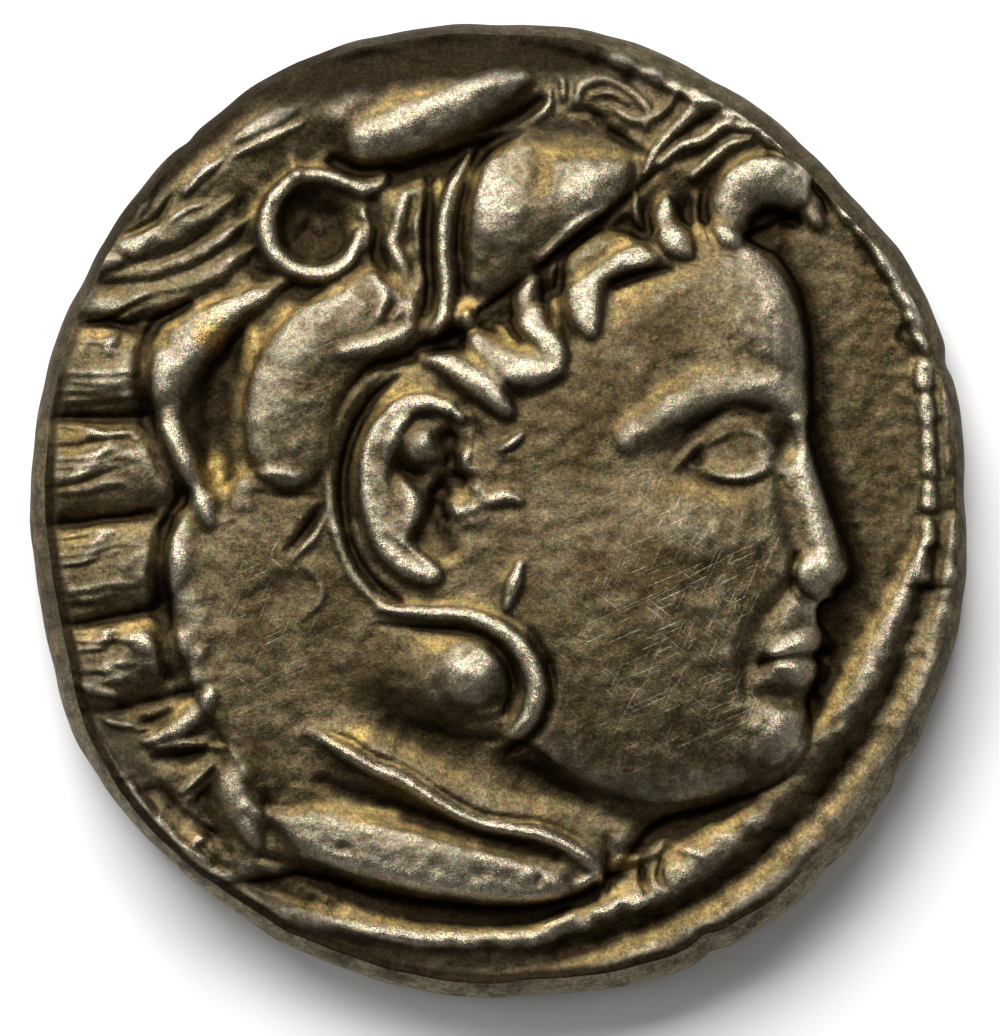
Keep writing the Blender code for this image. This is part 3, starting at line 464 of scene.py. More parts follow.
obverse.grooves(
    1.8,
    [(23.8, 45.6, 1.6), (28.5, 47.2, 1.8), (35, 48.4, 1.2)],
    [(52, 58.4, 1.8), (56.4, 59.8, 2.2), (60.5, 58.4, 1.6)],
)
obverse.ribs(
    1.5,
    [(11.4, 50, 0.8), (11.2, 44, 1.3), (12.6, 37, 1.0)],
    [(-2, 38.4, 0.6), (1, 36.4, 1.0), (3.6, 33.5, 0.7)],
    [(40.6, 64, 0.8), (40.4, 59, 1.4), (42.3, 54.5, 0.9)],
    [(9, 50.4, 0.6), (15, 56.4, 1.0), (22, 61, 0.7)],
    [(28, 64.4, 0.7), (28.5, 59, 1.1), (31, 55, 0.7)],
    shape=domed,
)


# Ear
# A large ear set low, with a broad flat rim, two bosses inside it and a rough floor where the
# die was never polished.

obverse.mound((-17, 3), 17, 23, -1.8)
obverse.grooves(
    1.9,
    [(-20, 26.8, 0.8), (-26, 21.2, 1.1), (-30.2, 12, 1.3), (-31.2, 2, 1.3), (-29.2, -8, 1.3),
     (-24.6, -15, 1.3), (-19, -19.4, 1.0)],
    [(-9.6, 17.6, 1.2), (-8.6, 12, 2.4), (-10, 6.6, 3.2), (-12, 2.4, 3.0), (-10.6, -3, 3.8),
     (-9.8, -8, 3.0)],
)
obverse.ribs(
    0.9,
    [(-23, 28.6, 0.8), (-28.8, 22.8, 1.3), (-33, 14, 1.5), (-34, 4, 1.5), (-32.4, -6, 1.4), (-28, -15, 1.3),
     (-22, -20.4, 0.8)],
    shape=domed,
)
obverse.ribs(
    3.6,
    [(-7.4, 18.4, 1.3), (-11, 21.0, 2.2), (-16.4, 21.2, 3.1), (-21.2, 18, 4.0), (-24.0, 12.6, 4.8),
     (-24.4, 6, 5.2), (-23.6, -1, 5.3), (-21.2, -7, 5.0), (-17.4, -11, 4.4), (-13.2, -13, 2.9)],
    [(-21.4, 6.4, 2.8), (-18.6, 0.6, 5.0), (-20, -5.6, 3.6)],
    shape=flat_topped, blur=0.4,
)
obverse.mound((-17.2, 13.2), 6.4, 6.0, 3.2, shape=domed)
obverse.ribs(1.6, [(-10.5, -3.4, 0.8), (-5, 0.6, 2.2), (1.5, 2.4, 2.2), (5, 1.5, 1.0)], shape=soft)
obverse.ribs(
    2.2,
    [(1.8, -20, 0.9), (3.2, -15.6, 2.0), (4.8, -10.8, 0.9)],
    [(0.6, 11.8, 0.6), (3, 13.4, 1.0), (5, 15, 0.6)],
    shape=domed,
)
obverse.mound((2, 9), 2.2, 1.6, -0.8)
obverse.grooves(1.2, [(-8, 22, 0.6), (-4, 16, 1.0), (-5, 9, 0.8)])
for line in range(3):
    left = -22.6 + 2.2 * line
    high = -5.4 - 1.8 * line
    obverse.grooves(0.9, [(left, high, 0.4), (left + 3, high - 2.2, 0.6), (left + 6, high - 4.6, 0.4)])
obverse.roughen(0.9, 0.7, seed=2, spot=((-8, 6), 10, 22))
obverse.roughen(1.0, 0.40, seed=4, spot=((-37, 57), 7, 7))
obverse.roughen(1.0, 0.34, seed=6, spot=((-20, 52), 9, 17))


# Mane
# Long locks sweep back from the ear of the skin, and four broad tufts stand out to the edge of
# the coin, parted by deep cuts and finely streaked along their upper sides.

obverse.ribs(
    3.0,
    [(-99, 28.6, 9), (-88, 28.4, 10), (-79, 27.6, 9.8), (-73, 27.4, 8.4), (-68, 27.2, 5)],
    [(-99, 7.4, 9.5), (-88, 8, 11), (-78, 9, 10.8), (-70, 9.6, 9), (-64, 9.8, 5)],
    [(-99, -14.5, 9), (-88, -13.8, 10.6), (-78, -12, 10.2), (-71, -11, 8.4), (-66, -10.6, 5)],
    [(-96, -33, 8), (-85, -32.4, 9.4), (-77, -30.5, 9), (-71, -29, 7.6), (-67, -28, 5)],
    shape=domed, blur=0.3,
)
obverse.grooves(
    1.0,
    [(-93, 38.8, 1.0), (-82, 38.4, 2.0), (-73, 36.0, 1.6)],
    [(-93, 18.2, 0.8), (-84, 18.4, 1.4), (-72, 18.0, 2.0)],
    [(-93, -3.6, 0.8), (-84, -3.0, 1.5), (-70, -1.0, 2.0)],
    [(-92, -24.2, 0.8), (-83, -23.2, 1.4), (-70, -20.6, 1.8)],
    [(-88, -41.4, 0.8), (-79, -41.4, 1.8), (-68, -38.6, 1.8), (-60, -36.2, 0.8)],
)
obverse.grooves(
    1.9,
    [(-62, 42, 1.0), (-69.6, 37, 2.0), (-71.8, 28, 2.6), (-70.6, 18, 3.0), (-67.0, 9.5, 3.2),
     (-63.8, 2.4, 2.6), (-67.4, -5, 2.8), (-68.4, -14, 3.2), (-67.6, -24, 3.0), (-66.8, -34, 1.6)],
)
obverse.grooves(
    2.4,
    [(-50, 39, 2), (-54.4, 31, 4.8), (-57, 22.5, 6.2), (-57, 13.5, 5.4), (-55.6, 6, 3.8), (-55, 0, 1.4)],
)
obverse.ribs(
    3.8,
    [(-43.5, 46.0, 1.4), (-50, 42.2, 3.4), (-57, 38.0, 5.4), (-62.4, 33.0, 6.4), (-65.4, 26.6, 5.4),
     (-66.4, 20, 3.9), (-64.8, 14, 3.4), (-62.4, 8, 3.0), (-59.8, 2, 2.3), (-58, -3, 1.2)],
    shape=domed, blur=0.5,
)
plain = [
    (-66, -1), (-67, -12), (-65.4, -24), (-62, -36), (-56, -46), (-48, -58), (-36, -60), (-26, -46),
    (-30, -24), (-33, -8), (-36, 4), (-48, 8), (-58, 4),
]
obverse.area(plain, 2.0, 5, fade=(-34, -56))
obverse.ribs(
    0.9,
    [(-64.6, -1, 1.4), (-63.4, -8, 3.8), (-61.8, -18, 4.6), (-61, -27, 4.0), (-61.6, -35, 2.0)],
    shape=domed, blur=0.5,
)
lobe = [
    (-23, 50), (-34, 45.5), (-43, 39), (-49.5, 30), (-51.5, 19), (-50.5, 8), (-46, 4.2), (-38, 3.2), (-34, 8),
    (-33, 17), (-29, 26), (-22, 32), (-14, 35), (-17, 43),
]
obverse.area(lobe, 2.4, 8)
obverse.mound((-33, 38), 19, 12, 2.0, turn=36)
obverse.mound((-43, 24), 11, 20, 1.6, turn=-12)
obverse.ribs(
    2.0,
    [(-89, 40.0, 3), (-78, 41.4, 4.2), (-68, 43.2, 3.9), (-60, 46.4, 3.4), (-54, 50.0, 2.2),
     (-49, 53.6, 0.7)],
    [(-78, 47.0, 1.6), (-70, 48.2, 2.6), (-62, 51.2, 2.9), (-55, 55.4, 1.8), (-50, 59.6, 0.7)],
    [(-84, 50.6, 1.4), (-79, 50.2, 2.9), (-73.6, 52.2, 3.4), (-66, 55.4, 3.8), (-59, 59.2, 2.4),
     (-54, 62.6, 0.7)],
    shape=domed, blur=0.2,
)
obverse.ribs(
    2.4,
    [(-72, -47.2, 0.8), (-66, -45.2, 2.6), (-61.4, -41.8, 3.4), (-57.6, -37, 1.2)],
    [(-54, -50, 1.4), (-53.4, -55.5, 4.4), (-51.4, -61.4, 4.4), (-48.8, -68, 1.4)],
    shape=domed, blur=0.4,
)
obverse.grooves(
    1.6,
    [(-69, -50.4, 1.6), (-62.4, -50.2, 3.0), (-57.4, -47.4, 1.4)],
    [(-57.4, -53, 1.0), (-60, -60, 3.6), (-55, -69.5, 2.0)],
)
obverse.grooves(0.8, [(-46.6, -57, 0.8), (-46.4, -63, 1.4), (-46.2, -68.6, 0.7)])
obverse.grooves(1.4, [(-60.6, -58.4, 0.5), (-57.4, -54.4, 0.8), (-55.2, -50.6, 0.5)])
HAIRS = [
    (36.6, 33.8, 1.0), (34.4, 32.2, 0.8), (27.6, 27.8, 0.8), (25.8, 26.2, 0.9), (24.0, 24.8, 0.8),
    (22.0, 23.2, 0.7),
    (17.0, 15.4, 1.2), (15.4, 14.4, 1.0), (13.4, 15.6, 0.8), (10.2, 12.8, 1.1), (8.4, 11.6, 1.0),
    (6.8, 10.4, 0.8),
    (5.2, 9.0, 0.9), (3.4, 5.4, 0.5), (-6.0, -3.2, 1.1), (-7.6, -4.4, 1.2), (-9.4, -5.4, 1.0),
    (-11.2, -6.8, 0.8),
    (-16.4, -15.0, 0.5), (-18.8, -17.0, 0.6), (-24.9, -23.9, 1.1), (-26.6, -25.0, 1.2), (-28.4, -26.2, 0.9),
    (-32.6, -31.0, 0.6), (-35.0, -33.0, 0.7),
]
TUFT_REACH = 92.5
spread = np.random.default_rng(12)
for tip, root, rise in HAIRS:
    edge = -math.sqrt(TUFT_REACH**2 - tip**2) + spread.uniform(0.5, 3)
    bend = spread.uniform(-0.25, 0.25)
    end = spread.uniform(-77, -72)
    middle = 0.72 * tip + 0.28 * root + bend
    obverse.ribs(rise, [(edge, tip, 0.4), (edge + 7, middle, 0.95), (-79, root - 0.2, 0.9), (end, root, 0.4)])
    obverse.grooves(
        0.6 * rise, [(edge + 2, tip - 1.1, 0.3), (edge + 8, middle - 1.1, 0.6), (end, root - 1, 0.3)],
    )
for hair in range(7):
    lift = 0.95 * hair
    obverse.grooves(
        0.9,
        [(-86 + 1.4 * hair, 37.0 + 0.3 * lift, 0.3), (-76 + hair, 37.2 + lift, 0.55),
         (-63 + hair, 39.4 + lift, 0.3)],
    )
obverse.grooves(
    1.3,
    [(-80, 53.6, 0.5), (-76.6, 52.0, 1.0), (-73.6, 49.6, 0.6)],
    [(-60, 40.6, 0.4), (-55, 43.2, 0.7), (-50, 45, 0.4)],
    [(-66, 63, 0.8), (-69, 58.6, 1.2), (-75, 55.6, 0.8)],
    [(-70, 49.6, 0.3), (-63.5, 52.4, 0.6), (-57.6, 56, 0.3)],
)
obverse.ribs(
    1.5,
    [(-72.8, 59.6, 0.7), (-71, 63.2, 1.4), (-68.6, 67.6, 0.7)],
    [(-66, 58.6, 0.4), (-62.6, 60.8, 0.9), (-58.4, 62, 0.4)],
    [(-32, 91.6, 0.4), (-26.5, 93.4, 1.1), (-20, 93.4, 0.4)],
    [(-17, 94.8, 0.3), (-11, 96.2, 0.7), (-6, 96, 0.3)],
    [(-56, 70.6, 0.5), (-60, 67.4, 1.0), (-63, 64, 0.5)],
    [(-53, 71.8, 0.4), (-46, 75.0, 1.0), (-39.5, 78.0, 0.4)],
)
obverse.ribs(
    1.2, [(-53, 75.0, 1.0), (-47, 78.0, 2.6), (-40.4, 81.6, 1.2)], shape=flat_topped,
)
obverse.ribs(0.8, [(-50, 7.4, 0.6), (-45, 7.6, 1.0), (-40, 6.6, 0.6)])
obverse.grooves(0.8, [(-49, 3.4, 0.5), (-43, 2.6, 1.0), (-36, 2.4, 0.6)])
obverse.grooves(2.0, [(-35.6, 0.6, 0.8), (-38.4, -4, 1.7), (-42.4, -8.6, 0.7)])
obverse.ribs(0.9, [(-34.8, -1.4, 0.5), (-37.2, -5.8, 1.0), (-41.2, -10, 0.5)])
obverse.mound((-42, -17), 7.5, 6.5, -0.9)
obverse.ribs(0.7, [(-39, -11, 0.5), (-35.4, -17, 1.0), (-39.5, -22.4, 0.6)])
obverse.ribs(
    1.5,
    [(-74.2, -25.6, 1.0), (-72, -26.4, 2.6), (-69.6, -28.6, 1.2)],
    [(-86.5, -34.5, 0.5), (-82, -36.4, 1.3), (-77, -38, 0.6)],
    [(-69, -48.4, 0.5), (-62, -47.6, 1.3), (-54, -48.4, 0.6)],
    [(-73.8, -57.4, 0.5), (-72, -59.2, 1.4), (-69.8, -61.6, 0.6)],
    [(-80.4, -49.6, 0.7), (-79, -51, 1.5), (-77.4, -52.8, 0.6)],
    [(-79.4, -54, 0.4), (-76.4, -54, 1.0), (-73.6, -53.6, 0.4)],
    [(-66, -66.4, 0.5), (-62, -68.8, 1.1), (-58, -71.6, 0.5)],
    [(-62.4, -68.6, 0.4), (-60, -66.8, 0.8), (-58.6, -66, 0.4)],
    [(-64, -57.6, 0.4), (-61, -55, 0.7), (-57.4, -51.6, 0.4)],
    [(-62.4, -59, 0.4), (-59, -56, 0.7), (-56, -52.6, 0.4)],
    [(-82, -41.6, 0.4), (-76, -43.6, 0.9), (-70, -44.4, 0.4)],
    shape=domed,
)
obverse.grooves(
    1.4,
    [(-75, -44.6, 0.4), (-70, -43, 0.8), (-65, -40.6, 0.4)],
    [(-72, -46, 0.3), (-67.6, -43.4, 0.6), (-63, -41.2, 0.3)],
    [(-76, -60, 1.0), (-69, -57, 2.2), (-64, -62, 2.0), (-58, -66, 1.2)],
    [(-82, -54, 0.5), (-79, -57, 1.1), (-75, -62, 0.8)],
)


# Jaw of the skin and its knot
# The lion's lower jaw curls round the cheek, the loose skin folds under the chin in two wavy
# edges, and its paws are knotted at the throat.

obverse.grooves(
    1.8,
    [(-24, -23.4, 0.6), (-14, -24.2, 1.0), (-4, -25.6, 1.1), (1.4, -30, 1.2), (3.2, -36, 1.1),
     (1.4, -42, 0.8)],
    [(6.8, -24.4, 0.7), (10.4, -31, 1.3), (11.2, -38, 1.3), (8.2, -45, 1.2), (2.4, -49.4, 0.7)],
)
obverse.ribs(
    3.0,
    [(-24, -20.0, 0.8), (-14, -20.9, 1.8), (-5, -21.7, 2.2), (2, -25.2, 2.6), (6.6, -31, 2.8),
     (7.8, -37.4, 2.7), (5.4, -43.4, 2.2), (1, -47.6, 0.9)],
    shape=flat_topped, blur=0.4,
)
obverse.mound((-7.5, -33), 13, 11, 2.6)
obverse.mound((-4.6, -33), 7.4, 8.2, 1.8, shape=domed)
obverse.mound((-16, -45), 20, 8, -2.4, turn=-32)
obverse.mound((8, -55), 14, 6, -1.6, turn=-22)
obverse.grooves(1.5, [(-36, -55, 2), (-25, -59.4, 4.0), (-13, -63.2, 4.4), (0, -67, 4.0), (12, -70.4, 2.4)])
obverse.ribs(
    2.4,
    [(-35, -46.4, 0.9), (-30.6, -49.0, 1.9), (-25, -52.4, 1.7), (-19.6, -54.4, 1.9), (-14.5, -57.8, 1.8),
     (-8.6, -61.6, 1.7), (-2.6, -64.2, 1.9), (4, -65.0, 1.7), (9, -65.8, 1.8), (14, -68.0, 1.5),
     (19, -71.4, 1.6), (21.6, -76, 0.9)],
    shape=flat_topped, blur=0.25,
)
obverse.ribs(
    1.7,
    [(-38, -45, 3), (-29, -48.6, 6), (-18, -54, 7), (-7, -60.6, 7), (5, -64, 6), (18, -69.4, 4)],
    shape=soft,
)
obverse.grooves(
    1.5,
    [(-34, -45.2, 0.5), (-29.6, -46.9, 0.8), (-24.4, -50.2, 0.8), (-19, -52.1, 0.8), (-13.8, -55.5, 0.8),
     (-8, -59.3, 0.8), (-2.4, -61.9, 0.8), (4, -62.8, 0.8), (9.4, -63.6, 0.8), (15, -66, 0.7),
     (20, -69.6, 0.5)],
)
obverse.ribs(
    2.8,
    [(-54, -59, 0.3), (-44, -63, 2.4), (-34, -66, 7.0), (-18, -70.6, 8.2), (-2, -74, 8), (11, -76.8, 4.4)],
    shape=flat_topped, blur=0.8,
)
obverse.grooves(
    1.9,
    [(-48, -70.6, 1.0), (-40, -72.8, 2.8), (-30, -77.0, 3.8), (-18, -80.2, 4.2), (-4, -81.8, 4.0),
     (9, -82.0, 3.4), (20, -79, 1.6)],
    shape=domed,
)
obverse.ribs(
    0.8,
    [(-4.6, -41.4, 0.5), (-2, -41.2, 1.0), (0.6, -40.6, 0.5)],
    [(2, -46, 0.4), (4, -44, 0.9), (4.8, -42.4, 0.4)],
)
obverse.grooves(0.6, [(-9, -30.4, 0.3), (-5.6, -28.6, 0.6), (-2.4, -27, 0.3)])
obverse.mound((-31, -68.6), 2.4, 1.6, -0.7)
obverse.mound((8.6, -75), 1.2, 1.8, -0.9)
obverse.ribs(
    1.8,
    [(23.4, -73.4, 0.8), (26, -71.6, 1.9), (29, -70.8, 0.9)],
    [(30.4, -70.8, 0.8), (32.6, -69.2, 1.6), (33.8, -67.4, 0.7)],
    [(16, -76.4, 0.8), (18.4, -75.4, 1.4), (20.4, -74.2, 0.7)],
    [(26, -79.6, 0.8), (28.4, -80, 1.6), (31, -79, 0.7)],
    [(9, -84.6, 0.6), (12.6, -83.4, 1.4), (16, -81.6, 0.7)],
    [(36.4, -69, 0.6), (39.5, -69.2, 1.3), (42, -70.4, 0.6)],
    [(20, -82, 0.6), (23, -81.2, 1.2), (25, -79, 0.6)],
    shape=domed, blur=0.3,
)
obverse.grooves(
    2.0,
    [(22.2, -66, 0.4), (22.5, -72, 0.8), (22.2, -79, 0.4)],
    [(29.4, -72.4, 0.7), (29.8, -75.4, 1.4), (30.6, -78, 0.7)],
    [(33.4, -71.6, 0.6), (33, -74.6, 1.0), (34.4, -76.6, 0.5)],
)


# Border
# What is left of the ring of dots: seven worn bars before the face, and a raised line above.

DOTS = [
    (86.8, 27.2, 1.6, 1.8), (87.4, 20.4, 1.4, 1.8), (87.6, 14.8, 1.3, 1.6), (87.8, 9.2, 1.3, 1.5),
    (87.8, 2.6, 1.5, 1.5), (87.6, -4.8, 1.6, 1.5), (87.0, -11.8, 1.8, 1.8),
]
for x, y, half, wide in DOTS:
    obverse.ribs(2.1, [(x, y - half, wide + 0.9), (x, y + half, wide + 0.6)], shape=flat_topped, blur=0.3)
obverse.ribs(
    2.2,
    [(5, 95.6, 0.8), (16, 93.6, 1.4), (28, 89.6, 1.7), (36, 85.8, 1.9), (42, 83, 2.0), (50, 78.6, 1.5),
     (57, 74.4, 1.9), (63, 69.4, 1.6), (70, 61.4, 1.7), (76, 53.8, 1.6), (82, 44.2, 2.0), (85.6, 36, 1.8),
     (87, 31.6, 0.9)],
    shape=domed, blur=0.25,
)
here, beside = obverse.stroke([(0, 97, 2), (28, 89.6, 5), (50, 78.6, 6), (70, 62, 5), (87, 34, 3)], soft)
line_share = np.zeros_like(obverse.z)
line_share[here] = beside
obverse.roughen(0.9, 0.55, seed=11, share=line_share)
obverse.roughen(2.0, 0.40, seed=13, share=line_share)
obverse.ribs(1.3, [(90.2, 28, 0.5), (91.2, 22, 1.2), (91.6, 15, 1.0), (92, 8, 0.6)])
obverse.grooves(1.3, [(84, 38, 0.5), (82, 35, 0.8), (85, 31, 0.4)])
obverse.grooves(1.3, [(82, -15.6, 0.3), (87, -16.4, 0.6), (92, -16, 0.3)])
for line in range(16):
    height = 46 - 3.9 * line + spread.uniform(-1.6, 1.6)
    start = spread.uniform(70, 79)
    end = start + spread.uniform(4, 8)
    middle = (start + end) / 2
    bend = height + spread.uniform(-0.8, 0.8)
    obverse.grooves(
        spread.uniform(-0.4, 0.3), [(start, height, 0.3), (middle, bend, 0.7), (end, height, 0.3)],
    )
for line in range(60):
    turn = math.radians(spread.uniform(-118, -22))
    start = spread.uniform(72, 82)
    end = start + spread.uniform(3, 7)
    middle = (start + end) / 2
    flow = [
        (far * math.cos(turn), far * math.sin(turn), wide)
        for far, wide in ((start, 0.4), (middle, 0.8), (end, 0.4))
    ]
    obverse.grooves(spread.uniform(-0.35, 0.35), flow, shape=domed)
grid_x, grid_y = np.meshgrid(obverse.axis, obverse.axis)
ragged = np.clip((np.hypot(grid_x, grid_y) - 80) / 8, 0, 1) * np.clip(0.5 - grid_y / 40, 0.2, 1)
obverse.roughen(2.2, 0.16, seed=8, share=ragged)
obverse.roughen(0.8, 0.12, seed=7, share=ragged)
obverse.roughen(3.4, 0.08, seed=5)
obverse.roughen(0.8, 0.12, seed=9)
obverse.soften(0.36)


# Reverse
# A god on a throne with a staff and an eagle, plainly cut in low relief, inside a broad flat
# border that the coin rests on. A column of short strokes stands for an inscription.

FOOT_WIDTH = 0.0009
DISH_SLOPE = 0.0007
REVERSE_DEPTH = 0.00040
REVERSE_DIE_RADIUS = 0.0082
REVERSE_UNIT = REVERSE_DIE_RADIUS / 100
REVERSE_STEP = REVERSE_DEPTH / 6
REVERSE_CELL = 0.5

reverse = Die(REVERSE_CELL)
reverse.ribs(
    2.4,
    [(-5, -20, 2), (28, -20, 2)], [(27, -58, 1.6), (27, 16, 1.6)], [(-4, -58, 1.6), (-4, -20, 1.6)],
    [(-4, -38, 1.2), (27, -38, 1.2)], [(-34, -60, 1.6), (36, -60, 1.6)], [(38, -58, 1.2), (36, 64, 1.2)],
)
reverse.ribs(
    4.4,
    [(14, -12, 9), (11, 10, 10), (7, 27, 8)],
    [(14, -12, 7), (-2, -10, 7), (-12, -13, 5)],
    [(-12, -13, 5.5), (-15, -34, 4.5), (-20, -54, 2.8), (-28, -56, 2)],
    [(-4, -16, 4), (-5, -38, 3.6), (-9, -54, 2.6), (-16, -56, 1.8)],
    [(5, 27, 4), (-10, 21, 3), (-27, 26, 2)],
    [(12, 28, 4), (24, 27, 3), (35, 40, 2.4)],
    [(-26, 30, 1.6), (-30, 36, 4), (-31, 43, 2.2), (-34, 45, 1.2)],
    [(-26, 40, 2), (-21, 33, 2.4), (-18, 25, 1)],
    blur=0.6,
)
reverse.mound((3, 43), 7, 9, 4.4, shape=rounded)
reverse.ribs(1.2, [(10, 36, 1.6), (9, 46, 2.4), (2, 52, 2.4), (-4, 48, 1.4)])
for fold in range(4):
    left = -9 + 5 * fold
    reverse.grooves(1.2, [(left, -5, 1), (left + 3, -12, 1.4), (left + 2, -18, 1)])
for mark in range(9):
    height = 38 - 9.5 * mark
    reverse.ribs(1.4, [(54, height, 1.5), (60, height, 1.5)])
reverse.roughen(3, 0.15, seed=3)
reverse.soften(0.7)


# Coin
# One solid of struck silver. Two square grids are pressed round, each takes the heights of its
# die, and the rim is drawn down in rings that swell out to the belly of the edge.

OBVERSE_CELLS = 280
REVERSE_CELLS = 88
WALL = [
    (0.03, 0.93), (0.08, 0.84), (0.36, 0.78), (0.66, 0.69), (0.88, 0.56), (1.0, 0.40), (0.97, 0.24),
    (0.82, 0.10), (0.45, 0.02),
]
STEP = (coin_high.z - BOX_GAP - FIELD_HEIGHT) / obverse.z.max()


def obverse_height(x, y):
    return FIELD_HEIGHT + STEP * obverse.read(obverse.z, x / DIE_UNIT, y / DIE_UNIT)


def reverse_height(x, y):
    inset = face_edge(np.arctan2(y, x)) - FOOT_WIDTH - np.hypot(x, y)
    fall = np.clip(inset / DISH_SLOPE, 0, 1)
    dish = REVERSE_DEPTH * fall**2 * (3 - 2 * fall)
    relief = REVERSE_STEP * reverse.read(reverse.z, -x / REVERSE_UNIT, y / REVERSE_UNIT)
    return np.where(inset > 0, np.maximum(dish - relief, 0), 0)


def place(verts, x, y, z):
    for vert, spot in zip(verts, np.column_stack([x, y, z])):
        vert.co = spot


def angles_of(verts):
    spots = np.array([vert.co[:] for vert in verts])
    return np.arctan2(spots[:, 1], spots[:, 0])


def pressed(mesh, cells, height):
    """A square grid pressed to the round of the struck face, at the heights of its die."""
    grid = bmesh.ops.create_grid(mesh, x_segments=cells, y_segments=cells, size=1)["verts"]
    square = np.array([vert.co[:] for vert in grid])
    x = square[:, 0] * np.sqrt(1 - square[:, 1] ** 2 / 2)
    y = square[:, 1] * np.sqrt(1 - square[:, 0] ** 2 / 2)
    out = face_edge(np.arctan2(y, x))
    place(grid, x * out, y * out, height(x * out, y * out))
    return len(grid)


flan = bmesh.new()
upper_count = pressed(flan, OBVERSE_CELLS, obverse_height)
rim = [edge for edge in flan.edges if edge.is_boundary]
for out_share, high_share in WALL:
    drawn = bmesh.ops.extrude_edge_only(flan, edges=rim)["geom"]
    rim = [part for part in drawn if isinstance(part, bmesh.types.BMEdge) and part.is_boundary]
    ring = [part for part in drawn if isinstance(part, bmesh.types.BMVert)]
    angle = angles_of(ring)
    inner = face_edge(angle)
    high = obverse_height(inner * np.cos(angle), inner * np.sin(angle))
    out = inner + out_share * (belly(angle) - inner)
    place(ring, out * np.cos(angle), out * np.sin(angle), high_share * high)
pressed(flan, REVERSE_CELLS, reverse_height)
bmesh.ops.bridge_loops(flan, edges=[edge for edge in flan.edges if edge.is_boundary])
bmesh.ops.recalc_face_normals(flan, faces=flan.faces)
spots = np.array([vert.co[:] for vert in flan.verts])
die_places = spots[:, :2] / DIE_UNIT
low, high = spots.min(0), spots.max(0)
coin_size = coin_high - coin_low
fit_x = (coin_size.x - 2 * BOX_GAP) / (high[0] - low[0])
fit_y = (coin_size.y - 2 * BOX_GAP) / (high[1] - low[1])
bmesh.ops.scale(flan, verts=flan.verts, vec=(fit_x, fit_y, 1))
shift_x = (coin_low.x + coin_high.x - fit_x * (low[0] + high[0])) / 2
shift_y = (coin_low.y + coin_high.y - fit_y * (low[1] + high[1])) / 2
bmesh.ops.translate(flan, verts=flan.verts, vec=(shift_x, shift_y, 0))
coin_mesh = bpy.data.meshes.new("struck_coin")
flan.to_mesh(coin_mesh)
flan.free()
coin_mesh.shade_smooth()
coin = bpy.data.objects.new("struck_coin", coin_mesh)
bpy.context.scene.collection.objects.link(coin)
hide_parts("coin")
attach(coin, "root")


# Toning and painted light
# Old silver: grey and polished where hands wore it, bronze in the field, a painted golden highlight
# on slopes that face the light, and near black in the deepest cuts, as dark patina with painted
# shade, and along the top. The wall is painted paler towards the bottom, as if lit from there.
# Its grain is fine, with hair scratches. A patch is its bearing in degrees, half turn, distance,
# half width and share, and a spot its middle, half width, half height and share.

upside = np.arange(len(die_places)) < upper_count
near, wide, widest = [blurred(obverse.z, reach / obverse.cell) for reach in (2.2, 6.0, 13.0)]
from_middle = np.hypot(grid_x, grid_y)
bearing = np.arctan2(grid_y, grid_x)


def kept(name, grid, elsewhere):
    """Stores a value for each vertex, from a grid on the obverse, for the material to read."""
    values = np.where(upside, obverse.read(grid, *die_places.T), elsewhere).astype(np.float32)
    coin_mesh.attributes.new(name, "FLOAT", "POINT").data.foreach_set("value", values)


def over(level, full):
    """How far the die's heights stand over a level, as a share of the full height."""
    return np.clip((obverse.z - level) / full, 0, 1)


def under(level, full):
    return np.clip((level - obverse.z) / full, 0, 1)


def spotted(spots):
    """The strongest of some soft oval spots at each place of the die."""
    strongest = np.zeros_like(obverse.z)
    for middle, half_width, half_height, share in spots:
        away = np.hypot((grid_x - middle[0]) / half_width, (grid_y - middle[1]) / half_height)
        strongest = np.maximum(strongest, share * soft(away))
    return strongest


# Spots on lit slopes where a golden highlight is painted, and the painted shade of the hollows is lessened.
PAINTED_SHEEN_SPOTS = [
    ((-57, 8), 4, 8, 1), ((-50, 33), 3, 9, 1), ((-29, -46), 7, 3.4, 1), ((-6, 41), 3, 3, 1),
    ((-25, -62), 9, 3, 1), ((26, -72), 5, 3, 1), ((-58, 36), 5, 7, 1),
]
RUBBED_SPOTS = [
    ((38, -22), 40, 46, 1.0), ((-46, -22), 20, 34, 0.9), ((-38, 28), 16, 20, 0.5), ((80, 10), 12, 50, 0.3),
]
painted_sheen_spots = spotted(PAINTED_SHEEN_SPOTS)
# Painted shade with dark patina: the further a point lies below its blurred surroundings, the darker it is
# painted, as shade falls into the hollows and patina gathers there.
cut = 0.5 * under(near, 1.4) + 0.5 * under(wide, 3.2) + 0.35 * under(widest, 5.0)
proud = 0.5 * over(near, 1.0) + 0.6 * over(wide, 2.6)
kept("hollow", cut * (1 - 0.8 * painted_sheen_spots), 0.1)
kept("worn", proud, 0.2)
kept("side", np.zeros_like(obverse.z), 1.0)
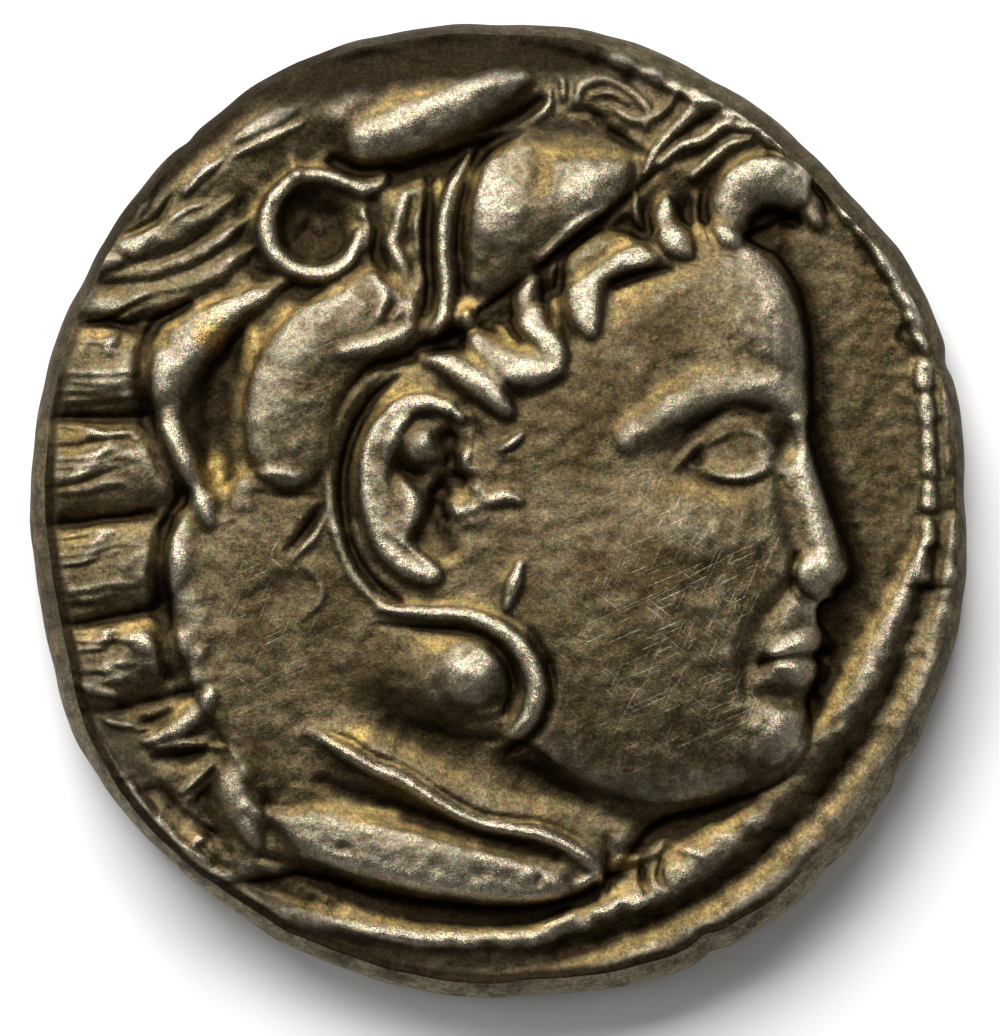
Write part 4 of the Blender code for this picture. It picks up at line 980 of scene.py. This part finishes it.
# Darkening: near black laid along the top of the face and in a few patches near its edge, and as a thin ring
# just inside the face's edge, strongest towards the lower left. The ring is painted shade in the angle by the
# wall, with dark patina there.
DARK_PATCHES = [
    (97, 34, 95, 12, 1.0), (130, 34, 98, 7, 0.9), (66, 22, 97, 5, 0.6), (80, 12, 77, 5, 0.6),
    (-36, 34, 96, 6, 0.5), (-104, 30, 92, 3.4, 0.7), (-150, 14, 90, 5, 0.5),
]
darkening = np.zeros_like(obverse.z)
for middle, half_turn, far, half_width, share in DARK_PATCHES:
    turned = ((np.degrees(bearing) - middle + 180) % 360 - 180) / half_turn
    outward = (from_middle - far) / half_width
    darkening = np.maximum(darkening, share * flat_topped(np.hypot(turned, outward)))
away = from_middle - face_edge(bearing) / DIE_UNIT
turned_away = np.clip(0.35 - grid_x / 140 - grid_y / 90, 0, 1)
darkening = np.maximum(darkening, turned_away * soft((away + 0.8) / 2.6))
# The wall is painted darker along its top, most at the upper left.
wall_bearing = np.degrees(np.arctan2(die_places[:, 1], die_places[:, 0]))
wall_darkening = 0.15 + 0.75 * soft((wall_bearing - 122) / 62) + 0.3 * soft((wall_bearing - 45) / 50)
kept("darkening", darkening, wall_darkening)
# Painted golden highlight: gold laid on slopes that face the key light, up and a little left, less on proud
# parts except near the lower rim, and on the listed spots.
slope_y, slope_x = np.gradient(blurred(obverse.z, 1.6 / obverse.cell), obverse.cell)
rimward = np.clip((from_middle - 70) / 8, 0, 1) * np.clip((10 - grid_y) / 20, 0, 1)
painted_gold_sheen = np.clip((0.4 * slope_x - 0.92 * slope_y - 0.14) / 0.52, 0, 1)
painted_gold_sheen *= np.clip(0.9 - (2.4 - 1.8 * rimward) * proud, 0, 1)
kept("painted_gold_sheen", np.maximum(painted_gold_sheen, 1.4 * painted_sheen_spots), 0.0)
kept("rubbed", spotted(RUBBED_SPOTS) * np.clip(1 - 4 * cut, 0, 1), 0.0)

material = bpy.data.materials.new("toned_silver")
material.use_nodes = True
tree = material.node_tree
shader = tree.nodes["Principled BSDF"]


def node(kind, *inputs, **settings):
    """A node of the coin's material, with its first inputs in order and then its settings."""
    made = tree.nodes.new(kind)
    for name, value in settings.items():
        if hasattr(made, name):
            setattr(made, name, value)
        else:
            made.inputs[name].default_value = value
    for socket, value in zip(made.inputs, inputs):
        if isinstance(value, bpy.types.NodeSocket):
            tree.links.new(value, socket)
        elif value is not None:
            socket.default_value = value
    return made


def attribute(name):
    return node("ShaderNodeAttribute", attribute_name=name).outputs["Fac"]


def math_node(operation, *inputs):
    return node("ShaderNodeMath", *inputs, operation=operation).outputs[0]


def vector_math(operation, *inputs):
    return node("ShaderNodeVectorMath", *inputs, operation=operation).outputs[0]


def stretch(value, low, high, to_low=0.0, to_high=1.0):
    """The value taken smoothly from one range to another, and held at its ends."""
    ranged = node("ShaderNodeMapRange", value, low, high, to_low, to_high, interpolation_type="SMOOTHSTEP")
    return ranged.outputs[0]


def blend_colour(share, below, above):
    mixed = node("ShaderNodeMix", data_type="RGBA")
    for index, value in ((0, share), (6, below), (7, above)):
        if isinstance(value, bpy.types.NodeSocket):
            tree.links.new(value, mixed.inputs[index])
        else:
            mixed.inputs[index].default_value = value if index == 0 else (*value, 1)
    return mixed.outputs[2]


def noise(scale, detail=3.0, roughness=0.55, vector=None):
    return node("ShaderNodeTexNoise", vector or millimetres, Scale=scale, Detail=detail, Roughness=roughness)


def scratches(turn, length, width, least):
    """Hair scratches: noise drawn out far along one direction and kept only at its crests."""
    turned = (0, 0, math.radians(turn))
    drawn = node("ShaderNodeMapping", millimetres, None, turned, (length, width, 1), vector_type="TEXTURE")
    lines = noise(1.0, 0.5, 0.5, drawn.outputs[0]).outputs["Fac"]
    return stretch(lines, least, least + 0.05)


FIELD_DARK, FIELD_PALE = (0.070, 0.050, 0.022), (0.145, 0.112, 0.060)
WORN_SILVER = (0.47, 0.41, 0.295)
PAINTED_SHEEN_GOLD = (0.47, 0.325, 0.11)
BLACK_PATINA_AND_SHADE = (0.022, 0.015, 0.007)
WALL_DARK, WALL_PALE, WALL_PAINTED_LIGHT = (0.042, 0.031, 0.014), (0.140, 0.108, 0.054), (0.34, 0.29, 0.19)
SCRATCH_SILVER = (0.60, 0.55, 0.44)
SCRATCHES = [(24, 0.8, 0.026, 0.685), (-38, 0.7, 0.024, 0.69), (66, 0.6, 0.024, 0.695)]

object_places = node("ShaderNodeTexCoord").outputs["Object"]
millimetres = node("ShaderNodeMapping", object_places, None, None, (1000, 1000, 1000)).outputs[0]
hollow, worn, side, darkening_share = [attribute(name) for name in ("hollow", "worn", "side", "darkening")]
clouds = noise(0.9, 4).outputs["Fac"]
patches = noise(2.4, 5).outputs["Fac"]
grain = noise(14, 5, 0.7).outputs["Fac"]
specks = noise(32, 2, 0.7).outputs["Color"]
crust = noise(6.5, 4, 0.65).outputs["Fac"]
field = blend_colour(stretch(clouds, 0.32, 0.70), FIELD_DARK, FIELD_PALE)
worn_share = math_node("MULTIPLY", stretch(worn, 0.10, 0.95), stretch(patches, 0.22, 0.58, 0.6, 1.0))
metal = blend_colour(worn_share, field, WORN_SILVER)
# Painted golden highlight on slopes that face the key light.
painted_sheen_share = math_node("MULTIPLY", attribute("painted_gold_sheen"), stretch(patches, 0.35, 0.65, 0.35, 0.95))
metal = blend_colour(painted_sheen_share, metal, PAINTED_SHEEN_GOLD)
# The darkened parts go near black, rougher and less metallic.
darkened = stretch(math_node("MULTIPLY", darkening_share, stretch(clouds, 0.3, 0.6, 0.75, 1.1)), 0.1, 0.85)
# Near black where painted shade and dark patina fill the hollows, and on the darkened parts.
dark_share = math_node("MAXIMUM", stretch(hollow, 0.13, 0.75), darkened)
metal = blend_colour(dark_share, metal, BLACK_PATINA_AND_SHADE)
mottle = stretch(noise(3.0, 5, 0.6).outputs["Fac"], 0.35, 0.7)
wall_colour = blend_colour(mottle, WALL_DARK, WALL_PALE)
# Painted light: the wall's lower side, towards the bottom of the picture, is painted paler in patches, as if
# lit from that side.
south = node("ShaderNodeSeparateXYZ", millimetres).outputs["Y"]
painted_light_share = math_node("MULTIPLY", stretch(south, -1, -7), stretch(patches, 0.35, 0.6, 0.15, 0.9))
wall_colour = blend_colour(painted_light_share, wall_colour, WALL_PAINTED_LIGHT)
metal = blend_colour(math_node("MULTIPLY", side, 0.9), metal, wall_colour)
metal = blend_colour(math_node("MULTIPLY", side, darkened), metal, BLACK_PATINA_AND_SHADE)
scratched = scratches(*SCRATCHES[0])
for direction in SCRATCHES[1:]:
    scratched = math_node("MAXIMUM", scratched, scratches(*direction))
scratched = math_node("MULTIPLY", scratched, attribute("rubbed"))
metal = blend_colour(math_node("MULTIPLY", scratched, 0.3), metal, SCRATCH_SILVER)
speckled = vector_math("MULTIPLY_ADD", specks, (2.2, 2.2, 2.2), (-0.1, -0.1, -0.1))
metal = vector_math("MULTIPLY", metal, speckled)
metal = vector_math("SCALE", metal, None, None, stretch(grain, 0.3, 0.7, 0.6, 1.4))
metal = vector_math("SCALE", metal, None, None, stretch(crust, 0.3, 0.7, 0.8, 1.2))
pits = noise(44, 3, 0.65).outputs["Fac"]
height = math_node("ADD", math_node("MULTIPLY", grain, 0.6), math_node("MULTIPLY", pits, 0.6))
height = math_node("ADD", height, math_node("MULTIPLY", crust, 0.5))
height = math_node("SUBTRACT", height, math_node("MULTIPLY", scratched, 0.15))
streaks = node("ShaderNodeMapping", millimetres, None, None, (7, 7, 0.8)).outputs[0]
streaked = math_node("MULTIPLY", noise(1.4, 4, 0.6, streaks).outputs["Fac"], side)
height = math_node("ADD", height, math_node("MULTIPLY", streaked, 1.5))
bump = node("ShaderNodeBump", Strength=0.6, Distance=0.00004)
tree.links.new(height, bump.inputs["Height"])
tree.links.new(metal, shader.inputs["Base Color"])
tree.links.new(bump.outputs[0], shader.inputs["Normal"])
matte = math_node("MAXIMUM", darkened, math_node("MULTIPLY", side, 0.9))
rough = math_node("MULTIPLY_ADD", matte, 0.30, stretch(worn, 0.1, 0.8, 0.34, 0.25))
rough = math_node("MULTIPLY_ADD", pits, 0.30, math_node("SUBTRACT", rough, 0.15))
tree.links.new(rough, shader.inputs["Roughness"])
tree.links.new(math_node("MULTIPLY_ADD", matte, -0.95, 1.0), shader.inputs["Metallic"])
tree.links.new(math_node("MULTIPLY_ADD", matte, -0.48, 0.5), shader.inputs["Specular IOR Level"])
coin_mesh.materials.append(material)


# Table, light and camera
# The coin lies on a plain pale table. Soft light falls from beyond its top edge and from the
# left, and the camera looks straight down.

FLOOR_SIZE = 0.6
PAPER_WHITE = (0.9, 0.9, 0.9, 1)
STUDIO_WHITE = (1, 0.98, 0.95, 1)
STUDIO_STRENGTH = 0.12
floor_mesh = bmesh.new()
bmesh.ops.create_grid(floor_mesh, x_segments=1, y_segments=1, size=FLOOR_SIZE / 2)
floor_data = bpy.data.meshes.new("table")
floor_mesh.to_mesh(floor_data)
floor_mesh.free()
floor = bpy.data.objects.new("table", floor_data)
bpy.context.scene.collection.objects.link(floor)
paper = bpy.data.materials.new("pale_paper")
paper.use_nodes = True
paper_shader = paper.node_tree.nodes["Principled BSDF"]
paper_shader.inputs["Base Color"].default_value = PAPER_WHITE
paper_shader.inputs["Roughness"].default_value = 0.9
floor_data.materials.append(paper)

world = bpy.data.worlds.new("studio")
world.use_nodes = True
background = world.node_tree.nodes["Background"]
background.inputs["Color"].default_value = STUDIO_WHITE
background.inputs["Strength"].default_value = STUDIO_STRENGTH
bpy.context.scene.world = world


def softbox(name, azimuth, elevation, away, wide, tall, glow):
    """An area light aimed at the coin. Azimuth 0 is beyond the top of the coin, 90 to its left."""
    light = bpy.data.lights.new(name, "AREA")
    light.shape = "RECTANGLE"
    light.size = wide
    light.size_y = tall
    light.energy = glow * math.pi * wide * tall
    a, e = math.radians(azimuth), math.radians(elevation)
    lamp = bpy.data.objects.new(name, light)
    lamp.location = (-away * math.sin(a) * math.cos(e), away * math.cos(a) * math.cos(e), away * math.sin(e))
    lamp.rotation_euler = (-lamp.location).to_track_quat("-Z", "Y").to_euler()
    bpy.context.scene.collection.objects.link(lamp)


softbox("key", 16, 43, 0.20, 0.15, 0.11, 14.0)
softbox("left fill", 80, 38, 0.20, 0.10, 0.10, 2.0)
softbox("right fill", -80, 36, 0.20, 0.08, 0.08, 1.0)
softbox("overhead", 0, 88, 0.26, 0.16, 0.16, 0.22)

PHOTO_WIDTH, PHOTO_HEIGHT = 1000, 1036
COIN_LEFT, COIN_RIGHT, COIN_TOP, COIN_BOTTOM = 30, 967, 24, 998
LENS, SENSOR = 180, 36
WIDEST_LEVEL = 0.40
frame_height = coin_size.y * PHOTO_HEIGHT / (COIN_BOTTOM - COIN_TOP)
pixel = frame_height / PHOTO_HEIGHT
camera_data = bpy.data.cameras.new("overhead_camera")
camera_data.lens = LENS
camera_data.sensor_width = SENSOR
camera_data.clip_start = 0.001
camera_data.clip_end = 10
camera = bpy.data.objects.new("overhead_camera", camera_data)
camera.location = (
    (coin_low.x + coin_high.x) / 2 + (PHOTO_WIDTH / 2 - (COIN_LEFT + COIN_RIGHT) / 2) * pixel,
    (coin_low.y + coin_high.y) / 2 - (PHOTO_HEIGHT / 2 - (COIN_TOP + COIN_BOTTOM) / 2) * pixel,
    WIDEST_LEVEL * FIELD_HEIGHT + frame_height * LENS / SENSOR,
)
bpy.context.scene.collection.objects.link(camera)
bpy.context.scene.camera = camera
bpy.context.scene.view_settings.view_transform = "Standard"
